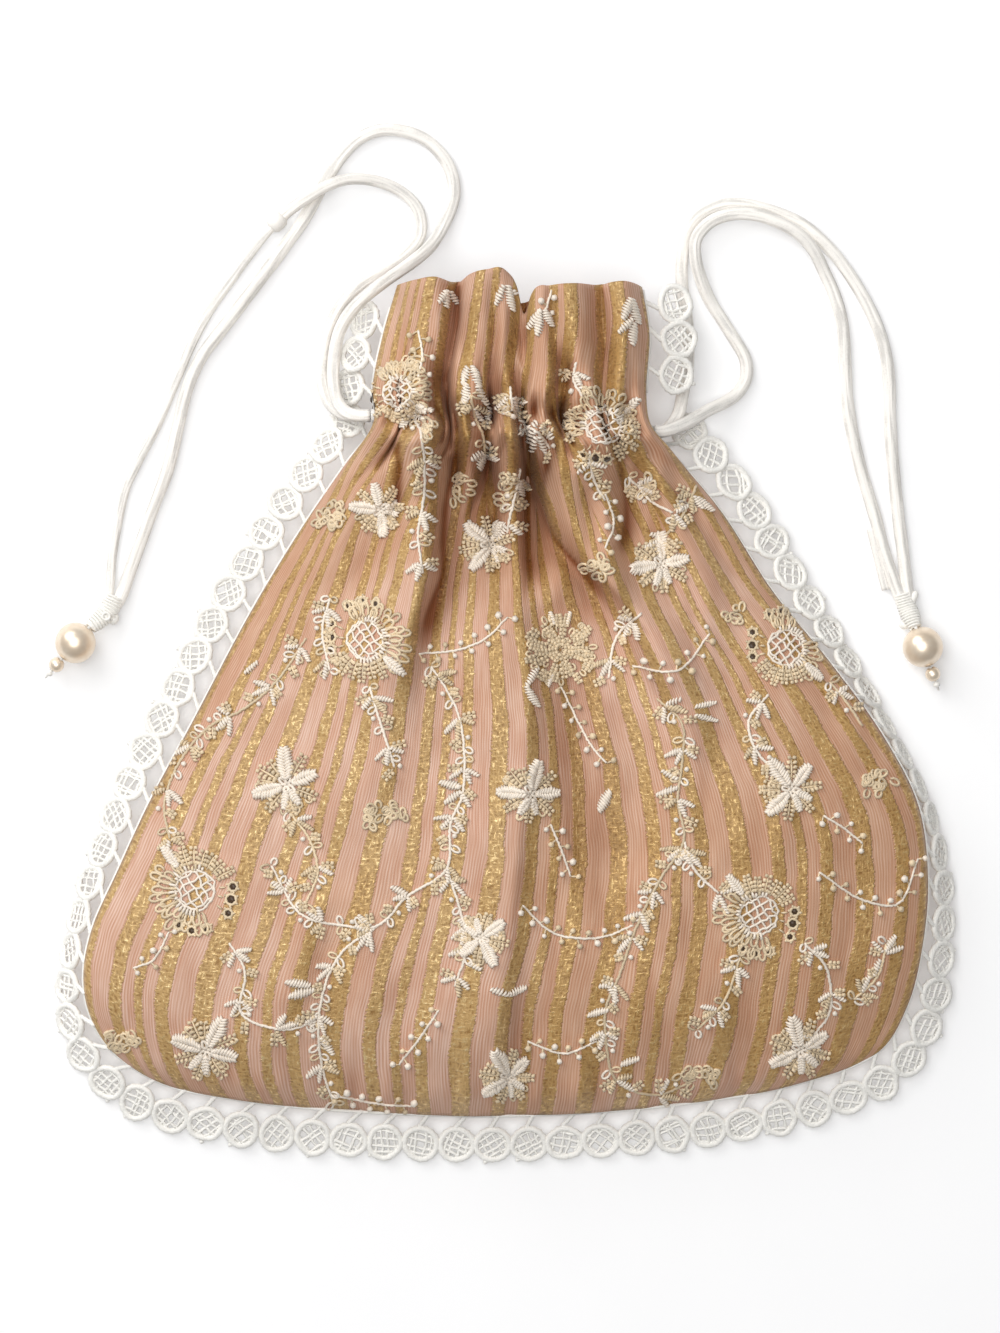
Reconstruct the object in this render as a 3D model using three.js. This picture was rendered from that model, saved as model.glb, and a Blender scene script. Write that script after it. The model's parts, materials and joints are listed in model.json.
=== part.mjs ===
// Drawstring pouch of striped tissue cloth, lying on its back with its mouth towards +Y.
// Millimetres, +Z up. The origin is under the middle of the pouch, on the surface that it lies on.
import * as THREE from "three";

// Cloth
const CLOTH_THICK = 1.2;
const SEAM_GAP = 0.3; // between the two panels along their seam
const NECK_UP = 0.835; // where the drawstring gathers the cloth, as a share of the seam from corner to rim
const NECK_Y = 73.5;
const BOTTOM_FADE = 1.5; // how fast the curve of the bottom seam dies out up the panel
const CINCH_DIP = 0.35; // share of a pleat's depth that the drawstring pulls in
const CINCH_WIDE = 4;
const PLEAT_FULL = 0.6; // how far a pleat's top is broadened and its valley pinched
const GATHER_FROM = 0.5; // where the front starts to draw in towards the neck, as a share up
const COLUMNS_PER_PLEAT = 6;
const SHOULDER = 0.55; // roundness of the front panel beside its seam
const BACK_FLAT = 0.72; // share of the back's half width that lies flat
const BACK_FOOT = 0.09; // share of the back's height that curls up to the bottom seam
const BACK_PLEATS = 5;
const BACK_PLEAT_DEEP = 3;
const BACK_GATHER_FROM = 0.66; // where the back's pleats start, and where they are full
const BACK_GATHER_FULL = 0.8;
const BACK_COLUMNS = 18;
const NORMAL_STEP = 0.004; // step for the direction across the cloth

// Side slits that the drawstrings leave by
const SLIT_OPEN = 4.6; // half height
const SLIT_FULL = 4.5; // half length of the stretch that is fully open
const SLIT_END = 11;
const SLIT_POWER = 6; // how fast a slit closes from the seam into the panel
const LEFT_SLIT_Y = 75.4;
const RIGHT_SLIT_Y = 71.4;

// Lace
const RING_PITCH = 9;
const RING_RADIUS = 4.9;
const RING_RIM = 1.4;
const RING_HOLE_SIDES = 8;
const RING_OUTER_SIDES = 4; // sides of the free edge of a ring
const RUNG_LONG = 1.8;
const RUNG_WIDE = 1;
const LACE_THICK = 1.1;
const LACE_CLEAR = 1; // between a rung's foot and the seam
const RING_MIDDLE = LACE_CLEAR + RUNG_LONG + RING_RADIUS;
// Ends of the lace at the mouth, and its distances from the right neck, as shares of the seam's length.
const LACE_START = 0.009;
const LACE_END = 0.999;
const LACE_BELOW_NECK = 0.006;
const LACE_ABOVE_NECK = 0.0125;
const LACE_DIVISIONS = 400;

// Drawstrings and the beads on their ends
const CORD_RADIUS = 1.5;
const THIN_CORD_RADIUS = 1.1;
const CORD_SIDES = 8;
const CORD_STEP = 10.8;
const RUN_STEP = 12.5;
const RUN_FRONT_Z = 17.6; // the drawstring behind the front gathers
const RUN_BACK_Z = 6.4; // and over the back gathers
const EXIT_TOP_Z = 15.1;
const EXIT_LOW_Z = 10.9;
const LEFT_RUN_END_X = -33.9; // where each hidden run ends, just inside its slit
const RIGHT_RUN_END_X = 36.2;
const RUN_END_LEVEL = 2.4; // length of the level stretch there
const RUN_SHOULDER_X = 27; // half widths at which the run bends: towards its slit, flat, and back on itself
const RUN_FLAT_X = 22;
const RUN_TURN_X = 17;
const RUN_BEND_X = 21;
const RUN_TIP_X = 22.6;
const RUN_BEND = 0.7; // share of a bend's rise at its shoulder
const PEARL_RADIUS = 5.1;
const PEARL_RINGS = 7;
const PEARL_SIDES = 12;
const SEED_RADIUS = 1.9;
const SEED_RINGS = 4;
const SEED_SIDES = 10;
const BORE_RADIUS = 0.75;
const THREAD_RADIUS = 0.4;
const THREAD_SIDES = 6;
const THREAD_STICKS_OUT = 0.4; // from the pearl, on the side of the wrap
const THREAD_KNOT = [[THREAD_RADIUS, 0], [0.9, 0.3], [0.9, 1.1], [0, 1.5]]; // radius and height over its foot
const BEAD_SLOPE = -0.1; // radians that the beads' thread dips
const WRAP_OUTLINE = [[0, 0], [3.1, 0], [2.5, 1.8], [2, 4], [2.3, 6], [1.5, 8], [0, 8]]; // radius and height
const WRAP_FLAT = 0.62; // height of a wrap over its width
const WRAP_SLOPE = 0.2; // radians that a wrap rises
const WRAP_SIDES = 10;
const TOUCH_GAP = 0.3;

// The seam, from the left end of the mouth down, round the bottom and up to the right end.
// z is the seam's height, and tilt the slope of the lace from it in degrees.
const SEAM = [
  { x: -27.6, y: 108, z: 12, tilt: -42 },
  { x: -31.1, y: 95.8, z: 12.4, tilt: -45 },
  { x: -33.6, y: 83, z: 12.8, tilt: -38 },
  { x: -33.4, y: 73.5, z: 13, tilt: -29 },
  { x: -40.6, y: 63.3, z: 11, tilt: -30 },
  { x: -51.9, y: 47, z: 7.5, tilt: -22 },
  { x: -64.4, y: 26.5, z: 6.2, tilt: -18 },
  { x: -79.4, y: -1.8, z: 6.4, tilt: -19 },
  { x: -89.4, y: -20.5, z: 8, tilt: -27 },
  { x: -97.4, y: -38, z: 10, tilt: -42 },
  { x: -103.9, y: -53, z: 11.6, tilt: -56 },
  { x: -105.9, y: -64.3, z: 11.6, tilt: -57 },
  { x: -104.4, y: -74.3, z: 9.8, tilt: -42 },
  { x: -98.9, y: -83.5, z: 7.4, tilt: -26 },
  { x: -86.9, y: -91.5, z: 5.6, tilt: -18 },
  { x: -69.4, y: -95.5, z: 5.2, tilt: -16 },
  { x: -44.4, y: -98.3, z: 5, tilt: -15 },
  { x: -6.9, y: -99.8, z: 5, tilt: -15 },
  { x: 23.1, y: -98.8, z: 5, tilt: -15 },
  { x: 48.1, y: -96.3, z: 5, tilt: -15 },
  { x: 70.6, y: -92.3, z: 5.4, tilt: -17 },
  { x: 93.1, y: -83.5, z: 6.4, tilt: -21 },
  { x: 100.1, y: -71.8, z: 8.4, tilt: -30 },
  { x: 103.6, y: -56.8, z: 11.2, tilt: -46 },
  { x: 104.9, y: -40.5, z: 11.8, tilt: -57 },
  { x: 102.4, y: -21.8, z: 13, tilt: -73 },
  { x: 93.6, y: -4.3, z: 13, tilt: -74 },
  { x: 80.6, y: 13.8, z: 11.6, tilt: -56 },
  { x: 66.1, y: 32, z: 9, tilt: -32 },
  { x: 53.6, y: 51.5, z: 8, tilt: -22 },
  { x: 40.6, y: 67, z: 10.5, tilt: -22 },
  { x: 35.4, y: 73.5, z: 13, tilt: -22 },
  { x: 34.6, y: 82, z: 12.8, tilt: -18 },
  { x: 35.4, y: 95.8, z: 12.4, tilt: -15 },
  { x: 33.6, y: 107.5, z: 12, tilt: -15 },
];
const LEFT_CORNER_ROW = 13;
const RIGHT_CORNER_ROW = 21;
const RIGHT_NECK_ROW = 31;
const SEAM_DIVISIONS = 700;

// Sections of the front panel from the bottom seam to the rim: how far it stands over the seam,
// and how square its arch is.
const SECTIONS = [
  { up: 0, crown: 0, square: 2.2 },
  { up: 0.02, crown: 4.6, square: 2.2 },
  { up: 0.06, crown: 9, square: 2.2 },
  { up: 0.13, crown: 13.2, square: 2.2 },
  { up: 0.24, crown: 16.6, square: 2.3 },
  { up: 0.38, crown: 17.6, square: 2.4 },
  { up: 0.52, crown: 16, square: 2.6 },
  { up: 0.66, crown: 12.4, square: 3 },
  { up: 0.77, crown: 8.4, square: 3.6 },
  { up: NECK_UP, crown: 7, square: 4 },
  { up: 0.9, crown: 7.6, square: 4 },
  { up: 1, crown: 7, square: 4 },
];

// Rows of the panels' grids, closer together at the bottom seam and the neck.
const PANEL_ROWS = [
  0, 0.02, 0.05, 0.1, 0.17, 0.26, 0.36, 0.46, 0.55, 0.63, 0.7, 0.755, 0.8, 0.82, 0.85, 0.89, 0.945, 1,
];
const BACK_ROWS = [0, 0.03, 0.06, 0.1, 0.2, 0.31, 0.42, 0.53, 0.63, 0.71, 0.775, 0.82, 0.85, 0.9, 1];

// Pleats of the front across the neck: width and depth there, and how far each runs down the body.
const PLEATS = [
  { wide: 7, deep: 4, reach: 34 },
  { wide: 12, deep: 7, reach: 30 },
  { wide: 10, deep: 6, reach: 26 },
  { wide: 8.5, deep: 5, reach: 38 },
  { wide: 9, deep: 5.5, reach: 30 },
  { wide: 11, deep: 7, reach: 30 },
  { wide: 11.25, deep: 5, reach: 36 },
];

// Lobes of the frill along its rim: how far the front bulges, and how far the rim stands over the mouth.
const LOBES = [
  { x: -27.6, bulge: 0, lift: 0 },
  { x: -23, bulge: 4.6, lift: 0.8 },
  { x: -18, bulge: 6.2, lift: 1.4 },
  { x: -13.6, bulge: 3.4, lift: 0.4 },
  { x: -11.8, bulge: 1.4, lift: 0.6 },
  { x: -9.6, bulge: 4.4, lift: 2 },
  { x: -5, bulge: 7, lift: 3.2 },
  { x: -0.5, bulge: 6, lift: 3 },
  { x: 2.4, bulge: 3, lift: -1.5 },
  { x: 4, bulge: 2, lift: -4.8 },
  { x: 6.4, bulge: 3.6, lift: -2.6 },
  { x: 11, bulge: 6.2, lift: -0.6 },
  { x: 17, bulge: 6.2, lift: 0 },
  { x: 21.4, bulge: 3.4, lift: 0 },
  { x: 23.4, bulge: 2, lift: 0.2 },
  { x: 25.6, bulge: 3.8, lift: 0.6 },
  { x: 29.4, bulge: 5.6, lift: 0.8 },
  { x: 32, bulge: 3, lift: 0.4 },
  { x: 33.6, bulge: 0, lift: 0 },
];

// Long folds of the front below the neck, the left, right and middle ridges and a fan on each side:
// where each ridge runs (x at each y, foot first), its height, and the width of its two flanks.
const FOLDS = [
  { y: [12, 30, 50, 68], x: [-21, -17.5, -18.5, -20], height: 8, left: 8, right: 3.5 },
  { y: [2, 20, 36, 48, 64], x: [44, 34, 23, 16, 13], height: 8, left: 4, right: 9 },
  { y: [32, 46, 64], x: [3, 2, 2], height: 4.5, left: 4.5, right: 4.5 },
  { y: [34, 48, 64], x: [-47, -40, -32], height: 3.5, left: 5, right: 4 },
  { y: [30, 46, 64], x: [51, 43, 34], height: 3.5, left: 4, right: 5 },
];
const FOLD_FADE = 16; // length over which a ridge dies out at its foot
const FOLD_TOP_BELOW = 4; // and the lengths below and above its top over which it ends there
const FOLD_TOP_ABOVE = 8;

// Routes of the drawstrings outside the pouch, from the slit to the beads.
const LEFT_OUTER_ROUTE = [
  [-34.3, 75.4, 15.1], [-36.4, 75.4, 15], [-39.8, 76.2, 12.9], [-42.5, 79.2, 9.8], [-43.6, 84.4, 7.4],
  [-43.4, 91, 6.6], [-42, 97, 7.6], [-38.8, 102.2, 9.8], [-34.2, 106.4, 11], [-29.6, 110, 10.2],
  [-24.4, 113.8, 7.6], [-19.4, 118.4, 4.6], [-15.6, 124.8, 2], [-13.4, 132, 1.6], [-14.9, 139, 1.6],
  [-19.6, 144.6, 1.6], [-25.6, 147.4, 1.6], [-31.9, 147.8, 1.6], [-37.6, 145.4, 1.6], [-42.2, 140.6, 1.6],
  [-46.4, 134, 1.6], [-51.2, 125.4, 1.6], [-57.6, 116.4, 1.6], [-64.4, 107.4, 1.6], [-71.4, 98.2, 1.6],
  [-76.9, 90.8, 1.6], [-80.4, 83.2, 1.6], [-82.9, 73.2, 1.6], [-85.6, 62, 1.6], [-89.4, 52, 1.6],
  [-92.6, 43.2, 1.6], [-95.3, 35.8, 1.8], [-97.5, 29.2, 2.4],
];
const LEFT_INNER_ROUTE = [
  [-34.3, 75.4, 10.9], [-36.4, 75.4, 10.6], [-40.8, 76, 8], [-44.8, 79, 4.4], [-46.6, 84.6, 1.9],
  [-46.3, 91.4, 1.6], [-44.8, 98, 1.6], [-41.7, 104, 1.6], [-37, 108.6, 1.6], [-31.2, 112.4, 1.6],
  [-25.4, 116.4, 1.6], [-21.8, 121.6, 1.6], [-22.4, 127.6, 1.6], [-26.6, 132.2, 1.8], [-32.8, 134.8, 3],
  [-39.6, 135.2, 4.8], [-45.8, 133.2, 5.6], [-51.4, 129.8, 4.4], [-55.9, 126.6, 2.8],
];
const LEFT_THIN_ROUTE = [
  [-59.7, 122.8, 2.6], [-63.8, 118, 1.3], [-69.2, 110.6, 1.2], [-74.2, 103.6, 1.2], [-78.6, 95.8, 1.2],
  [-82, 88.2, 1.2], [-85.6, 79.5, 1.2], [-89.2, 71.5, 1.2], [-92.9, 64.5, 1.2], [-95.9, 58.2, 1.2],
  [-98, 49.5, 1.2], [-99.4, 40.8, 1.4], [-100.2, 31.2, 2.4],
];
const RIGHT_INNER_ROUTE = [
  [36.6, 71.4, 15.1], [39, 71.5, 14.9], [44.4, 73.6, 11], [49.8, 76.8, 6.6], [54.4, 79.2, 3.4],
  [57.8, 81.6, 1.8], [60, 85.4, 1.6], [59.8, 90.2, 1.6], [57.4, 94.8, 1.6], [54.4, 99.4, 1.6],
  [51.2, 104.4, 2], [48.8, 109.6, 3.6], [47.2, 115, 4.8], [47.4, 120.2, 4.8], [50.6, 124.2, 4.8],
  [55.4, 126.2, 4.8], [61, 126.4, 4.8], [67, 124.8, 4.9], [72.6, 121.8, 4.8], [76.8, 117.4, 3.8],
  [79.8, 111.8, 1.9], [82.4, 105.8, 1.6], [84.2, 99, 1.6], [84.9, 89.5, 1.6], [85.5, 79.5, 1.6],
  [86.9, 70.8, 1.6], [89.4, 60.5, 1.6], [92.4, 50.8, 1.6], [95, 40.8, 1.8], [97.2, 31.2, 2.4],
];
const RIGHT_OUTER_ROUTE = [
  [36.6, 71.4, 10.9], [39, 71.8, 10.6], [42.4, 75.4, 8], [44, 81.6, 4.8], [45.2, 88, 2.4],
  [45.4, 95.4, 1.6], [44.8, 102, 1.6], [44, 108.4, 1.6], [43.8, 115, 1.6], [45, 121.2, 1.6],
  [48.4, 126.2, 1.6], [53.6, 128.8, 1.6], [59.8, 129, 1.6], [67, 127.2, 1.6], [74.2, 124, 1.6],
  [79.8, 119.4, 1.6], [85.1, 112.8, 1.6], [89.3, 106.2, 1.6], [92.6, 99.5, 1.6], [94.9, 92.5, 1.6],
  [96, 84.5, 1.6], [96.2, 75.8, 1.6], [96.8, 65.8, 1.6], [98, 53.2, 1.6], [99.4, 42, 1.8],
  [101, 32.4, 2.4],
];

// Where each drawstring's wrapped end starts, the direction it points in the plan, and the pearl's middle.
const ENDS = [
  { side: "left", start: [-99.4, 29, 2.7], heading: -2.291, pearl: [-108.4, 18.8] },
  { side: "right", start: [99.3, 31, 2.8], heading: -1.213, pearl: [104.2, 17.8] },
];
const KNOT_MIDDLE = [-57.95, 124.55, 2.6];
const KNOT_HEADING = -2.356;
// The knot's outline as pairs of radius and height.
const KNOT_OUTLINE = [[0, -2.1], [1.6, -2.1], [2.3, -0.7], [2.3, 0.7], [1.6, 2.1], [0, 2.1]];
const KNOT_SIDES = 10;

const pinkCloth = new THREE.MeshStandardMaterial({ color: 0xd6a288, roughness: 0.55, metalness: 0.15 });
const whiteLace = new THREE.MeshStandardMaterial({ color: 0xf3efe8, roughness: 0.85, metalness: 0 });
const whiteCord = new THREE.MeshStandardMaterial({ color: 0xeeeae2, roughness: 0.7, metalness: 0 });
const creamPearl = new THREE.MeshStandardMaterial({ color: 0xf0dcc0, roughness: 0.2, metalness: 0.1 });

const clamp = THREE.MathUtils.clamp;
const lerp = THREE.MathUtils.lerp;
const smooth = (from, to, at) => THREE.MathUtils.smoothstep(at, from, to);
const bell = (distance, width) => Math.exp(-((distance / width) ** 2));

// A smooth curve through the values of one column of a table, read at a place along another.
function profile(places, values) {
  const curve = new THREE.CubicInterpolant(places, values, 1, [0]);
  const first = places[0];
  const last = places[places.length - 1];
  return (at) => curve.evaluate(clamp(at, first, last))[0];
}
const crownAt = profile(SECTIONS.map((row) => row.up), SECTIONS.map((row) => row.crown));
const squareAt = profile(SECTIONS.map((row) => row.up), SECTIONS.map((row) => row.square));
const bulgeAt = profile(LOBES.map((row) => row.x), LOBES.map((row) => row.bulge));
const liftAt = profile(LOBES.map((row) => row.x), LOBES.map((row) => row.lift));

// The seam as one smooth curve, and the share of its length at a row of the table.
const seam = new THREE.CatmullRomCurve3(
  SEAM.map((row) => new THREE.Vector3(row.x, row.y, row.z)),
  false,
  "centripetal",
);
seam.arcLengthDivisions = SEAM_DIVISIONS;
const SEAM_LENGTH = seam.getLength();
function shareAtRow(row) {
  const lengths = seam.getLengths();
  return lengths[Math.round((row / (SEAM.length - 1)) * SEAM_DIVISIONS)] / SEAM_LENGTH;
}
const LEFT_CORNER = shareAtRow(LEFT_CORNER_ROW);
const RIGHT_CORNER = shareAtRow(RIGHT_CORNER_ROW);
const RIGHT_NECK = shareAtRow(RIGHT_NECK_ROW);

// Half the height of the gap between the panels at a point of the seam.
function halfGap(point) {
  const away = Math.abs(point.y - (point.x < 0 ? LEFT_SLIT_Y : RIGHT_SLIT_Y));
  return SEAM_GAP / 2 + SLIT_OPEN * (1 - smooth(SLIT_FULL, SLIT_END, away));
}

// The pleats' edges across the cloth and across the neck, as shares of the width.
const NECK_WIDE = PLEATS.reduce((sum, pleat) => sum + pleat.wide, 0);
const neckEdges = [0];
for (const pleat of PLEATS) neckEdges.push(neckEdges[neckEdges.length - 1] + pleat.wide / NECK_WIDE);

// A point between the two side seams: across from 0 to 1, and up from the bottom seam to the rim.
function plan(across, up) {
  const left = seam.getPointAt(lerp(LEFT_CORNER, 0, up));
  const right = seam.getPointAt(lerp(RIGHT_CORNER, 1, up));
  const bottom = seam.getPointAt(lerp(LEFT_CORNER, RIGHT_CORNER, across));
  const chord = seam.getPointAt(LEFT_CORNER).lerp(seam.getPointAt(RIGHT_CORNER), across);
  return left.lerp(right, across).addScaledVector(bottom.sub(chord), (1 - up) ** BOTTOM_FADE);
}

// Half the seam's gap on the nearer side, fading to the plain gap inside the panel.
function gapAcross(across, up) {
  const side = across < 0.5 ? lerp(LEFT_CORNER, 0, up) : lerp(RIGHT_CORNER, 1, up);
  const atSide = halfGap(seam.getPointAt(side));
  return lerp(SEAM_GAP / 2, atSide, Math.abs(2 * across - 1) ** SLIT_POWER);
}

// How high the long folds raise the front panel at a point.
function foldHeight(x, y) {
  let height = 0;
  for (const fold of FOLDS) {
    const foot = fold.y[0];
    const top = fold.y[fold.y.length - 1];
    const away = x - profile(fold.y, fold.x)(y);
    const flank = away < 0 ? fold.left : fold.right;
    const start = smooth(foot - FOLD_FADE, foot + FOLD_FADE, y);
    const end = 1 - smooth(top - FOLD_TOP_BELOW, top + FOLD_TOP_ABOVE, y);
    height += fold.height * start * end * bell(away, flank);
  }
  return height;
}

// The outer face of the front panel at a share across its cloth and up its height.
function frontPoint(cloth, up) {
  const count = PLEATS.length;
  const index = Math.min(count - 1, Math.floor(cloth * count));
  const pleat = PLEATS[index];
  const phase = cloth * count - index;
  const gathered = lerp(neckEdges[index], neckEdges[index + 1], phase);
  const below = Math.max(0, (NECK_UP - up) * LEFT_CORNER * SEAM_LENGTH);
  const above = smooth(NECK_UP, 1, up);
  const strength = 1 - smooth(0, pleat.reach, below);
  const pinch = (PLEAT_FULL * strength * (1 - above) * Math.sin(2 * Math.PI * phase)) / (2 * Math.PI);
  const squeeze = smooth(GATHER_FROM, NECK_UP, up);
  const across = lerp(cloth, gathered - (pinch * pleat.wide) / NECK_WIDE, squeeze);

  const point = plan(across, up);
  const arch = (1 - Math.abs(2 * across - 1) ** squareAt(up)) ** SHOULDER;
  const cinch = 1 - CINCH_DIP * bell(point.y - NECK_Y, CINCH_WIDE);
  const ridge = pleat.deep * strength * cinch * (1 - Math.cos(2 * Math.PI * phase)) / 2;
  point.z += gapAcross(across, up) + CLOTH_THICK + crownAt(up) * arch;
  point.z += lerp(ridge, bulgeAt(point.x), above) + foldHeight(point.x, point.y) * arch;
  point.y += liftAt(point.x) * above;
  return point;
}

// The outer face of the back panel, flat on the surface below and curling up to the seam.
function backPoint(cloth, up) {
  const point = plan(cloth, up);
  const side = Math.max(0, (Math.abs(2 * cloth - 1) - BACK_FLAT) / (1 - BACK_FLAT)) ** 2;
  const foot = Math.max(0, 1 - up / BACK_FOOT) ** 2;
  const edge = 1 - (1 - side) * (1 - foot);
  const gather = smooth(BACK_GATHER_FROM, BACK_GATHER_FULL, up) * (1 - side);
  const ripple = BACK_PLEAT_DEEP * gather * Math.sin(BACK_PLEATS * Math.PI * cloth) ** 2;
  point.z = (point.z - gapAcross(cloth, up) - CLOTH_THICK) * edge + ripple;
  return point;
}

// The direction across a panel's thickness, towards the inside of the pouch.
function inward(surface, cloth, up, sign) {
  const [left, right] = [Math.max(0, cloth - NORMAL_STEP), Math.min(1, cloth + NORMAL_STEP)];
  const [low, high] = [Math.max(0, up - NORMAL_STEP), Math.min(1, up + NORMAL_STEP)];
  const across = surface(right, up).sub(surface(left, up));
  const along = surface(cloth, high).sub(surface(cloth, low));
  const normal = across.cross(along).normalize().multiplyScalar(-sign);
  const onSeam = cloth === 0 || cloth === 1 || up === 0;
  return onSeam ? new THREE.Vector3(0, 0, -sign) : normal;
}

// A closed wall from a grid of outer points, thickened towards the inside. sign is 1 for the front.
function clothWall(surface, columns, rows, sign) {
  const positions = [];
  const wide = columns + 1;
  const layer = wide * rows.length;
  const grid = rows.flatMap((up) => Array.from({ length: wide }, (_, column) => [column / columns, up]));
  const outer = grid.map(([cloth, up]) => surface(cloth, up));
  const inner = grid.map(([cloth, up], index) =>
    outer[index].clone().addScaledVector(inward(surface, cloth, up, sign), CLOTH_THICK),
  );
  for (const point of [...outer, ...inner]) positions.push(point.x, point.y, point.z);

  const faces = [];
  const quad = (a, b, c, d) => (sign > 0 ? faces.push(a, b, c, a, c, d) : faces.push(a, c, b, a, d, c));
  const last = rows.length - 1;
  for (let row = 0; row < last; row++) {
    for (let column = 0; column < columns; column++) {
      const at = row * wide + column;
      quad(at, at + 1, at + wide + 1, at + wide);
      quad(layer + at, layer + at + wide, layer + at + wide + 1, layer + at + 1);
    }
    const left = row * wide;
    const right = left + columns;
    quad(left, left + wide, layer + left + wide, layer + left);
    quad(right, layer + right, layer + right + wide, right + wide);
  }
  for (let column = 0; column < columns; column++) {
    const top = last * wide + column;
    quad(column, layer + column, layer + column + 1, column + 1);
    quad(top, top + 1, layer + top + 1, layer + top);
  }
  const geometry = new THREE.BufferGeometry();
  geometry.setAttribute("position", new THREE.Float32BufferAttribute(positions, 3));
  geometry.setIndex(faces);
  return geometry;
}

// The lace's local frame at a share of the seam: its foot, its direction outwards and its face.
// It is sewn to the back panel, and to the front panel beside the right of the mouth.
function laceFrame(share) {
  const at = seam.getUtoTmapping(share) * (SEAM.length - 1);
  const row = Math.min(SEAM.length - 2, Math.floor(at));
  const tilt = THREE.MathUtils.degToRad(lerp(SEAM[row].tilt, SEAM[row + 1].tilt, at - row));
  const tangent = seam.getTangentAt(share);
  const flat = new THREE.Vector3(tangent.x, tangent.y, 0).normalize();
  const level = new THREE.Vector3(flat.y, -flat.x, 0);
  const outward = level.multiplyScalar(Math.cos(tilt)).setZ(Math.sin(tilt));
  const foot = seam.getPointAt(share);
  foot.z += (halfGap(foot) - SEAM_GAP / 2) * (share > RIGHT_NECK ? 1 : -1);
  return { foot, outward, face: flat.clone().cross(outward) };
}

// Where the middle of each ring lies: distances along the line of ring middles, and seam shares.
function laceLine(fromShare, toShare) {
  const shares = [];
  const distances = [];
  let before = null;
  for (let step = 0; step <= LACE_DIVISIONS; step++) {
    const share = lerp(fromShare, toShare, step / LACE_DIVISIONS);
    const frame = laceFrame(share);
    const middle = frame.foot.clone().addScaledVector(frame.outward, RING_MIDDLE);
    distances.push(before ? distances[step - 1] + before.distanceTo(middle) : 0);
    shares.push(share);
    before = middle;
  }
  return { long: distances[LACE_DIVISIONS], shareAt: profile(distances, shares) };
}

// One run of lace: rings side by side, each tied to the seam by a rung, pierced and laid along the seam.
function laceRun(fromShare, toShare) {
  const line = laceLine(fromShare, toShare);
  const count = Math.round((line.long - TOUCH_GAP) / RING_PITCH);
  const pitch = (line.long - TOUCH_GAP) / count;
  const meet = Math.acos(pitch / 2 / RING_RADIUS); // angle at which a ring meets the next one
  const at = (ring, angle, radius) =>
    new THREE.Vector2(
      TOUCH_GAP / 2 + (ring + 0.5) * pitch + radius * Math.cos(angle),
      RING_MIDDLE + radius * Math.sin(angle),
    );
  const outline = [];
  for (let ring = 0; ring < count; ring++) {
    for (let corner = 0; corner < RING_OUTER_SIDES; corner++) {
      outline.push(at(ring, lerp(Math.PI - meet, meet, corner / RING_OUTER_SIDES), RING_RADIUS));
    }
  }
  outline.push(at(count - 1, meet, RING_RADIUS));
  for (let ring = count - 1; ring >= 0; ring--) {
    const middle = at(ring, 0, 0).x;
    const rungAngle = Math.asin(RUNG_WIDE / 2 / RING_RADIUS);
    outline.push(at(ring, -meet, RING_RADIUS));
    outline.push(at(ring, rungAngle - Math.PI / 2, RING_RADIUS));
    outline.push(new THREE.Vector2(middle + RUNG_WIDE / 2, LACE_CLEAR));
    outline.push(new THREE.Vector2(middle - RUNG_WIDE / 2, LACE_CLEAR));
    outline.push(at(ring, -rungAngle - Math.PI / 2, RING_RADIUS));
  }
  outline.push(at(0, Math.PI + meet, RING_RADIUS));

  const shape = new THREE.Shape(outline);
  for (let ring = 0; ring < count; ring++) {
    const hole = [];
    for (let corner = 0; corner < RING_HOLE_SIDES; corner++) {
      hole.push(at(ring, (2 * Math.PI * corner) / RING_HOLE_SIDES, RING_RADIUS - RING_RIM));
    }
    shape.holes.push(new THREE.Path(hole));
  }
  const geometry = new THREE.ExtrudeGeometry(shape, { depth: LACE_THICK, steps: 1, bevelEnabled: false });
  const positions = geometry.getAttribute("position");
  for (let index = 0; index < positions.count; index++) {
    const frame = laceFrame(line.shareAt(positions.getX(index)));
    const point = frame.foot
      .addScaledVector(frame.outward, positions.getY(index))
      .addScaledVector(frame.face, positions.getZ(index) - LACE_THICK / 2);
    positions.setXYZ(index, point.x, point.y, point.z);
  }
  return geometry;
}

// A drawstring as a tube of even sides along its route.
function cordTube(route, radius, step = CORD_STEP) {
  const path = new THREE.CatmullRomCurve3(
    route.map((point) => new THREE.Vector3(...point)),
    false,
    "centripetal",
  );
  const corners = [];
  for (let side = 0; side < CORD_SIDES; side++) {
    const angle = (2 * Math.PI * (side + 0.5)) / CORD_SIDES;
    corners.push(new THREE.Vector2(radius * Math.cos(angle), radius * Math.sin(angle)));
  }
  const steps = Math.round(path.getLength() / step);
  const shape = new THREE.Shape(corners);
  return new THREE.ExtrudeGeometry(shape, { steps, extrudePath: path, bevelEnabled: false });
}

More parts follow.
